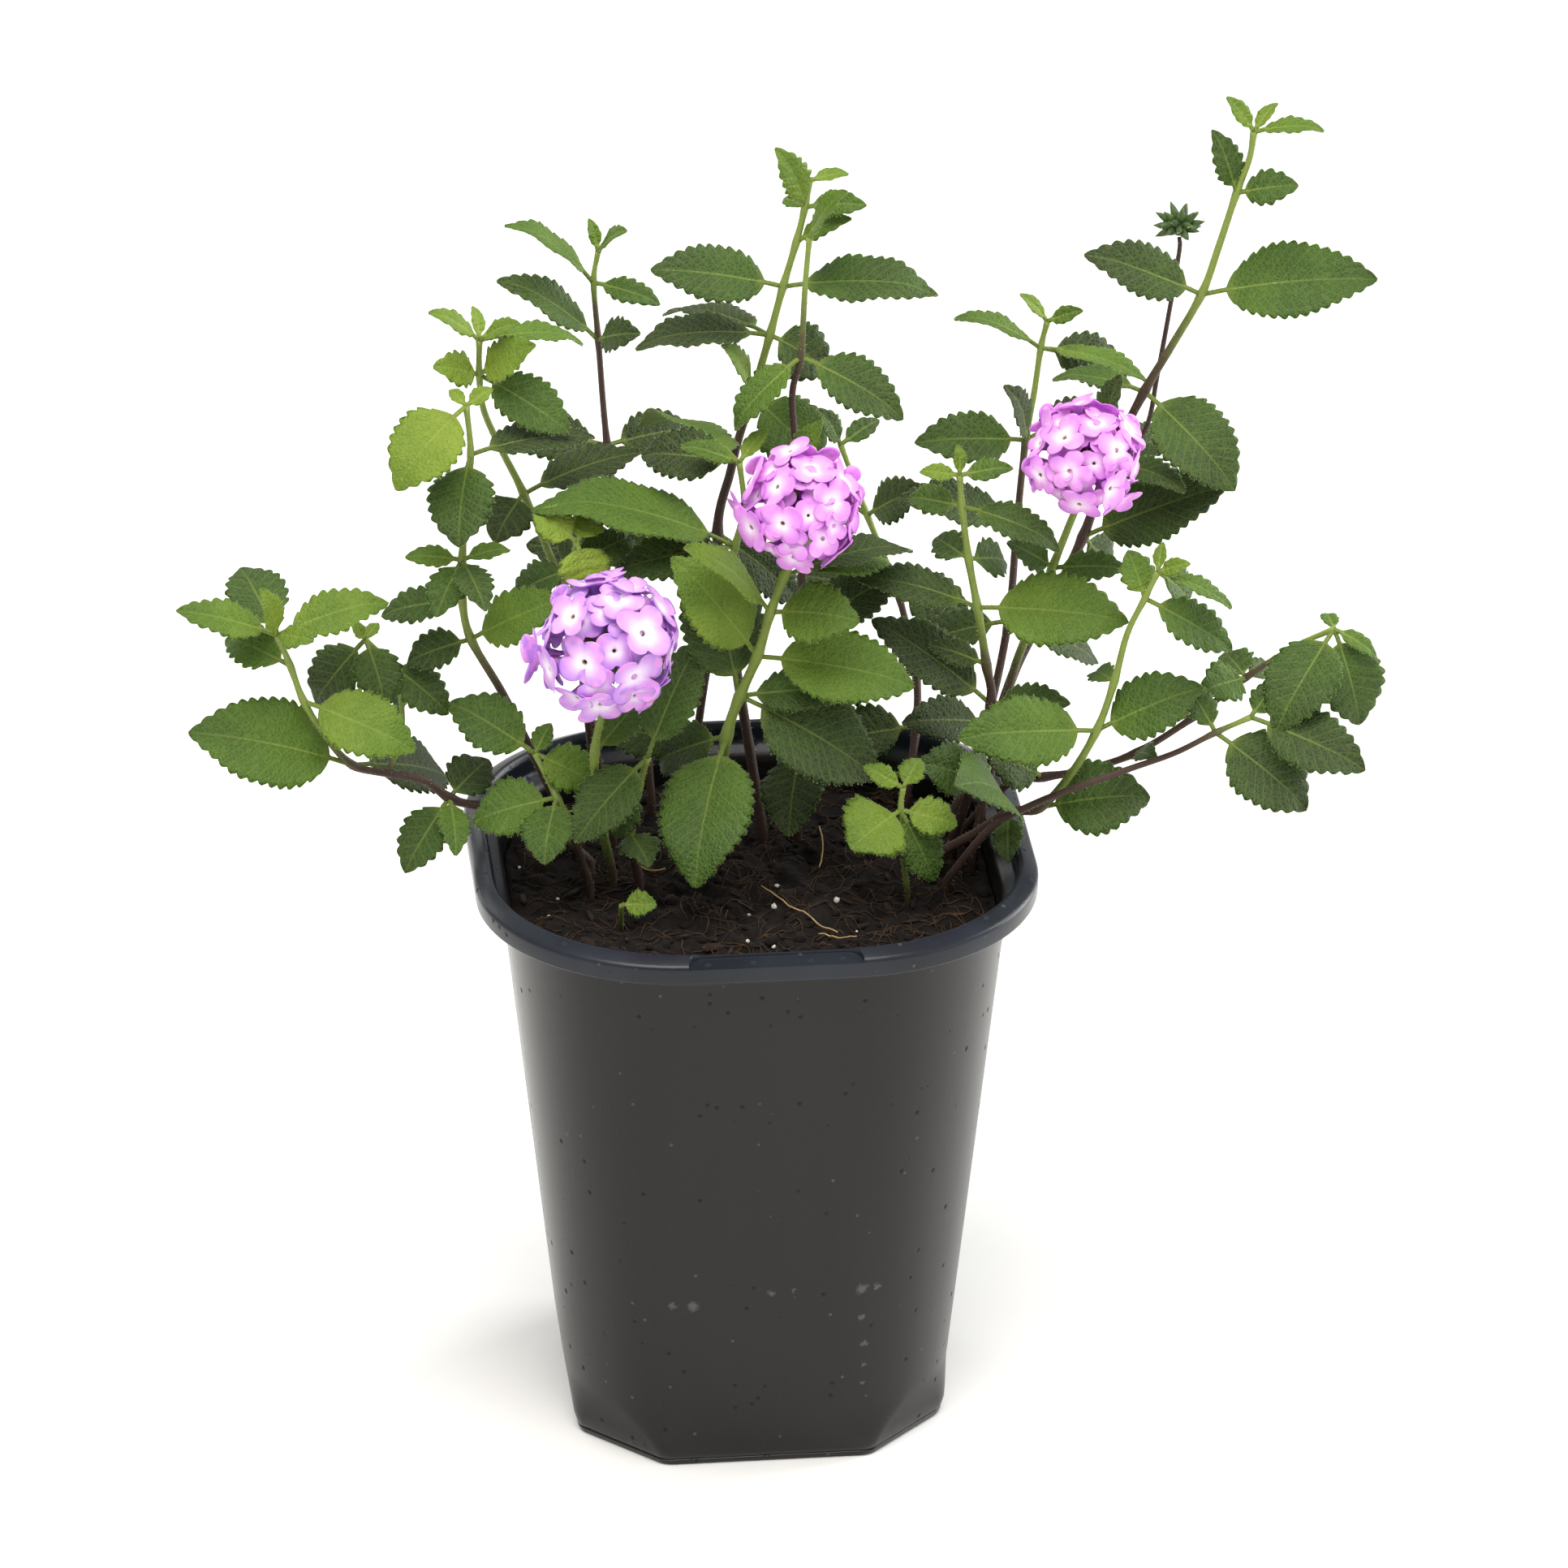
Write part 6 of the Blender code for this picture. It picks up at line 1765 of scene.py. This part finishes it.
# %% [markdown]
# Potting soil is peat and coir: crumbs that range from dust to peas, red-brown fibres, chips of
# bark, a few white grains of perlite and pale straws. The surface is a fine grid, raised by several
# scales of noise, closed below by the block of soil that fills the pot. What lies on it is modelled
# piece by piece, because at this nearness a picture of soil would look flat.

# %% The soil's surface
SOIL_AROUND = 260
SOIL_RINGS = 46
CRUMB_SIZE = 2.4


def soil_level(x, y, share):
    """The soil's surface: lumpy, and a little lower where it meets the wall."""
    lumps = (0.9 * sin(x * 0.21 + 1.3) * cos(y * 0.17 - 0.4) + 0.6 * sin(x * 0.53 - y * 0.41)
             + 0.4 * cos(x * 0.83 + y * 0.77 + 2.0))
    return SOIL_LEVEL + lumps * (1 - 0.5 * share) - 1.0 * share ** 6


def crumbled(x, y, share):
    """The surface with its crumbs."""
    coarse = noise.turbulence(Vector((x, y, 3.0)) / (2.2 * CRUMB_SIZE), 3, False)
    fine = noise.noise(Vector((x, y, 9.0)) / (0.45 * CRUMB_SIZE))
    return soil_level(x, y, share) + 1.5 * (coarse - 0.45) + 0.45 * fine


def dense_ring(ring, count):
    """The ring with this many points, evenly spaced."""
    loop = ring + ring[:1]
    lengths = [0.0]
    for a, b in zip(loop, loop[1:]):
        lengths.append(lengths[-1] + (b - a).length)
    even = []
    index = 0
    for step in range(count):
        target = lengths[-1] * step / count
        while lengths[index + 1] < target:
            index += 1
        share = (target - lengths[index]) / (lengths[index + 1] - lengths[index])
        even.append(loop[index].lerp(loop[index + 1], share))
    return even


SOIL_GAP = WALL + CLEARANCE
EDGE_HEIGHT = SOIL_LEVEL - 2
FOOT_HEIGHT = FLOOR_THICKNESS + CLEARANCE
SOIL_HALF = body_half(EDGE_HEIGHT) - SOIL_GAP
soil_edge = dense_ring(fine_ring(SOIL_HALF, EDGE_HEIGHT), SOIL_AROUND)
soil_foot = dense_ring(fine_ring(body_half(FOOT_HEIGHT) - SOIL_GAP, FOOT_HEIGHT), SOIL_AROUND)
print("the soil is", round(2 * soil_edge[0].x, 1), "mm wide at its surface")

# %% [markdown]
# Wet peat is nearly black and drinks in light, so it is the roughest finish here. Its crumbs differ
# in colour from black to red-brown, and the fibres and chips are the lighter, drier parts of it.

# %% Soil finishes
def earth_finish(name, stops, size, roughness):
    """Soil matter whose colour wanders between the stops over spots of this size."""
    finish, tree, shader = new_finish(name, {"Roughness": roughness, "Specular IOR Level": 0.3})
    where = add_node(tree, "TexCoord").outputs["Object"]
    cloud = add_node(tree, "TexNoise", None,
                     {"Vector": where, "Scale": 1 / (size * MM), "Detail": 6.0, "Roughness": 0.65})
    colour = add_node(tree, "ValToRGB", None, {"Fac": cloud.outputs["Fac"]})
    set_stops(colour, stops)
    tree.links.new(colour.outputs["Color"], shader.inputs["Base Color"])
    fine = add_node(tree, "TexNoise", None,
                    {"Vector": where, "Scale": 1 / (0.35 * MM), "Detail": 4.0, "Roughness": 0.7})
    bump = add_node(tree, "Bump", None,
                    {"Height": fine.outputs["Fac"], "Strength": 0.9, "Distance": 0.25 * MM})
    tree.links.new(bump.outputs["Normal"], shader.inputs["Normal"])
    return finish


PEAT_TONES = [(0.3, "070504"), (0.5, "110b08"), (0.66, "1f140e"), (0.8, "38241a")]
COIR_TONES = [(0.3, "20160e"), (0.55, "40301f"), (0.8, "74593b")]
CHIP_TONES = [(0.3, "17100b"), (0.55, "2a1d15"), (0.8, "54392a")]
peat = earth_finish("peat_moist", PEAT_TONES, 4.0, 0.95)
coir = earth_finish("coir_fibre", COIR_TONES, 3.0, 0.8)
bark_chip = earth_finish("pine_bark_chip", CHIP_TONES, 2.0, 0.85)
perlite = earth_finish("perlite_grain", [(0.3, "b9b3a2"), (0.7, "ece7da")], 0.8, 0.8)
straw = earth_finish("straw_dry", [(0.3, "8c6f48"), (0.7, "c7a878")], 2.0, 0.6)
print("soil finishes:", ", ".join(finish.name for finish in (peat, coir, bark_chip, perlite, straw)))

# %% [markdown]
# What lies on the soil is scattered by a seeded chance: crumbs, splinters of bark, fibres that
# wander over the surface and a few grains of perlite. Each straw lies where it is seen.

# %% The soil and what lies on it
CRUMB_COUNT = 620
FIBRE_COUNT = 720
CHIP_COUNT = 110
PERLITE_COUNT = 15
STRAW_RADIUS = 0.18
STRAW_LIFT = 1.2
WALL_MARGIN = 1.5
STRAWS = [((0.8, -12.7), (10.5, -19.5), (18.1, -23.4)), ((13.8, -23.2), (18.0, -24.3), (22.5, -24.0)),
          ((-29.0, -8.0), (-25.0, -9.0), (-21.0, -8.5)), ((14.0, 0.5), (14.8, -4.0), (14.0, -8.5))]


def inside_wall(point):
    """Whether the point lies over the soil, clear of the pot's wall."""
    return past_ring(point, SOIL_HALF) < -WALL_MARGIN


def surface_at(point):
    """The height of the crumbled soil at the point."""
    share = min(max(abs(point.x), abs(point.y)) / SOIL_HALF, 1)
    return crumbled(point.x, point.y, share)


def on_surface(chance):
    """A random point of the soil's surface."""
    while True:
        point = Vector((chance.uniform(-SOIL_HALF, SOIL_HALF), chance.uniform(-SOIL_HALF, SOIL_HALF), 0))
        if inside_wall(point):
            point.z = surface_at(point)
            return point


def crumb(middle, size, chance, squash=0.7):
    """An irregular lump of twelve corners."""
    long = (1 + sqrt(5)) / 2
    corners = [(-1, long, 0), (1, long, 0), (-1, -long, 0), (1, -long, 0), (0, -1, long), (0, 1, long),
               (0, -1, -long), (0, 1, -long), (long, 0, -1), (long, 0, 1), (-long, 0, -1), (-long, 0, 1)]
    faces = [(0, 11, 5), (0, 5, 1), (0, 1, 7), (0, 7, 10), (0, 10, 11), (1, 5, 9), (5, 11, 4),
             (11, 10, 2), (10, 7, 6), (7, 1, 8), (3, 9, 4), (3, 4, 2), (3, 2, 6), (3, 6, 8),
             (3, 8, 9), (4, 9, 5), (2, 4, 11), (6, 2, 10), (8, 6, 7), (9, 8, 1)]
    spin = Matrix.Rotation(chance.uniform(0, 2 * pi), 3, "Z")
    spin = spin @ Matrix.Rotation(chance.uniform(0, pi), 3, "X")
    points = []
    for corner in corners:
        point = spin @ (Vector(corner).normalized() * size * chance.uniform(0.7, 1.2))
        points.append(middle + Vector((point.x, point.y, point.z * squash)))
    return points, faces


def chip(middle, size, chance):
    """A flat splinter of bark with a broken outline."""
    corners = 6
    spin = Matrix.Rotation(chance.uniform(0, 2 * pi), 3, "Z")
    spin = spin @ Matrix.Rotation(chance.uniform(-0.7, 0.7), 3, "X")
    slender = chance.uniform(0.18, 0.5)
    points = []
    for level in (-0.5, 0.5):
        for index in range(corners):
            turn = 2 * pi * index / corners
            reach = size * chance.uniform(0.55, 1.3)
            flat = Vector((cos(turn) * reach, sin(turn) * reach * slender, level * size * 0.2))
            points.append(middle + spin @ flat)
    return points, tube_faces(2, corners)


def fibre(start, chance, length, radius, sides=4):
    """A fibre that wanders over the soil and lifts off it here and there."""
    heading = chance.uniform(0, 2 * pi)
    bend = chance.uniform(-0.35, 0.35)
    points = []
    steps = 6
    point = start.copy()
    for step in range(steps + 1):
        points.append(point.copy())
        heading += bend + chance.uniform(-0.25, 0.25)
        point = point + Vector((cos(heading), sin(heading), 0)) * length / steps
        if not inside_wall(point):
            point = point * 0.9
            heading += pi * 0.6
        rise = chance.uniform(0.0, 0.9) * sin(pi * (step + 1) / (steps + 1))
        point.z = surface_at(point) + radius * 0.5 + rise
    radii = [radius * (1.0 if 0 < index < steps else 0.5) for index in range(steps + 1)]
    return tube(points, radii, sides)


def make_soil():
    chance = Random(21)
    pile = Pile()
    rings = [soil_foot, soil_edge]
    for step in range(SOIL_RINGS):
        share = 1 - step / SOIL_RINGS
        rings.append([Vector((p.x * share, p.y * share, crumbled(p.x * share, p.y * share, share)))
                      for p in soil_edge])
    pile.add(*lathe(rings), finish=0)
    for _ in range(CRUMB_COUNT):
        size = 0.5 + 1.5 * chance.random() ** 3
        pile.add(*crumb(on_surface(chance), size, chance), finish=0)
    for _ in range(CHIP_COUNT):
        size = 0.9 + 2.4 * chance.random() ** 2
        pile.add(*chip(on_surface(chance) + Vector((0, 0, size * 0.2)), size, chance), finish=2)
    for _ in range(FIBRE_COUNT):
        start = on_surface(chance)
        pile.add(*fibre(start, chance, chance.uniform(4, 13), chance.uniform(0.08, 0.2)), finish=1)
    for _ in range(PERLITE_COUNT):
        size = chance.uniform(0.35, 0.85)
        pile.add(*crumb(on_surface(chance) + Vector((0, 0, size * 0.4)), size, chance, 0.9), finish=3)
    for route in STRAWS:
        points = []
        for point in smooth_curve([seen_on_soil(*spot) for spot in route], 8):
            height = (surface_at(point) + SOIL_LEVEL) / 2 + STRAW_LIFT
            points.append(Vector((point.x, point.y, height)))
        pile.add(*tube(points, [STRAW_RADIUS] * len(points), 6), finish=4)
    soil = pile.object("soil_loose", [peat, coir, bark_chip, perlite, straw])
    dress(soil, "soil")


make_soil()

# %% [markdown]
# The studio is plain: a pale floor, an even pale surround, and four large soft lights. The main one
# hangs above and to the left, a weaker one fills from the right, and two stand behind, left and
# right, and rim the leaves. Large lights give the broad soft gradients that the pot's sides mirror.

# %% Floor, surround and lights
FLOOR_SIZE = 8.0


def make_floor():
    bpy.ops.mesh.primitive_plane_add(size=FLOOR_SIZE, location=(0, 0, 0))
    floor = bpy.context.object
    floor.name = "studio_floor"
    finish = new_finish("studio_floor_matt", {
        "Base Color": linear("f4f4f2"), "Roughness": 0.9, "Specular IOR Level": 0.1})[0]
    floor.data.materials.append(finish)


def make_light(name, place, size, power, colour):
    light = bpy.data.lights.new(name, "AREA")
    light.shape = "RECTANGLE"
    light.size, light.size_y = size
    light.energy = power
    light.color = linear(colour)[:3]
    obj = bpy.data.objects.new(name, light)
    obj.location = place
    obj.rotation_euler = (Vector((0, 0, 0.15)) - Vector(place)).to_track_quat("-Z", "Y").to_euler()
    bpy.context.scene.collection.objects.link(obj)


def make_surround(colour, strength):
    world = bpy.data.worlds.new("surround")
    world.use_nodes = True
    background = world.node_tree.nodes["Background"]
    background.inputs["Color"].default_value = linear(colour)
    background.inputs["Strength"].default_value = strength
    bpy.context.scene.world = world


make_floor()
make_light("main_light", (-0.15, -0.55, 1.75), (1.3, 1.3), 36.0, "fffaf4")
make_light("fill_light", (1.4, -1.0, 0.9), (1.2, 1.2), 4.0, "f6f9ff")
make_light("right_side_light", (1.15, 0.45, 0.50), (0.7, 1.1), 16.0, "ffffff")
make_light("left_side_light", (-0.60, 1.00, 0.45), (0.5, 1.0), 2.4, "ffffff")
make_surround("ffffff", 0.60)
bpy.context.scene.view_settings.view_transform = "Standard"
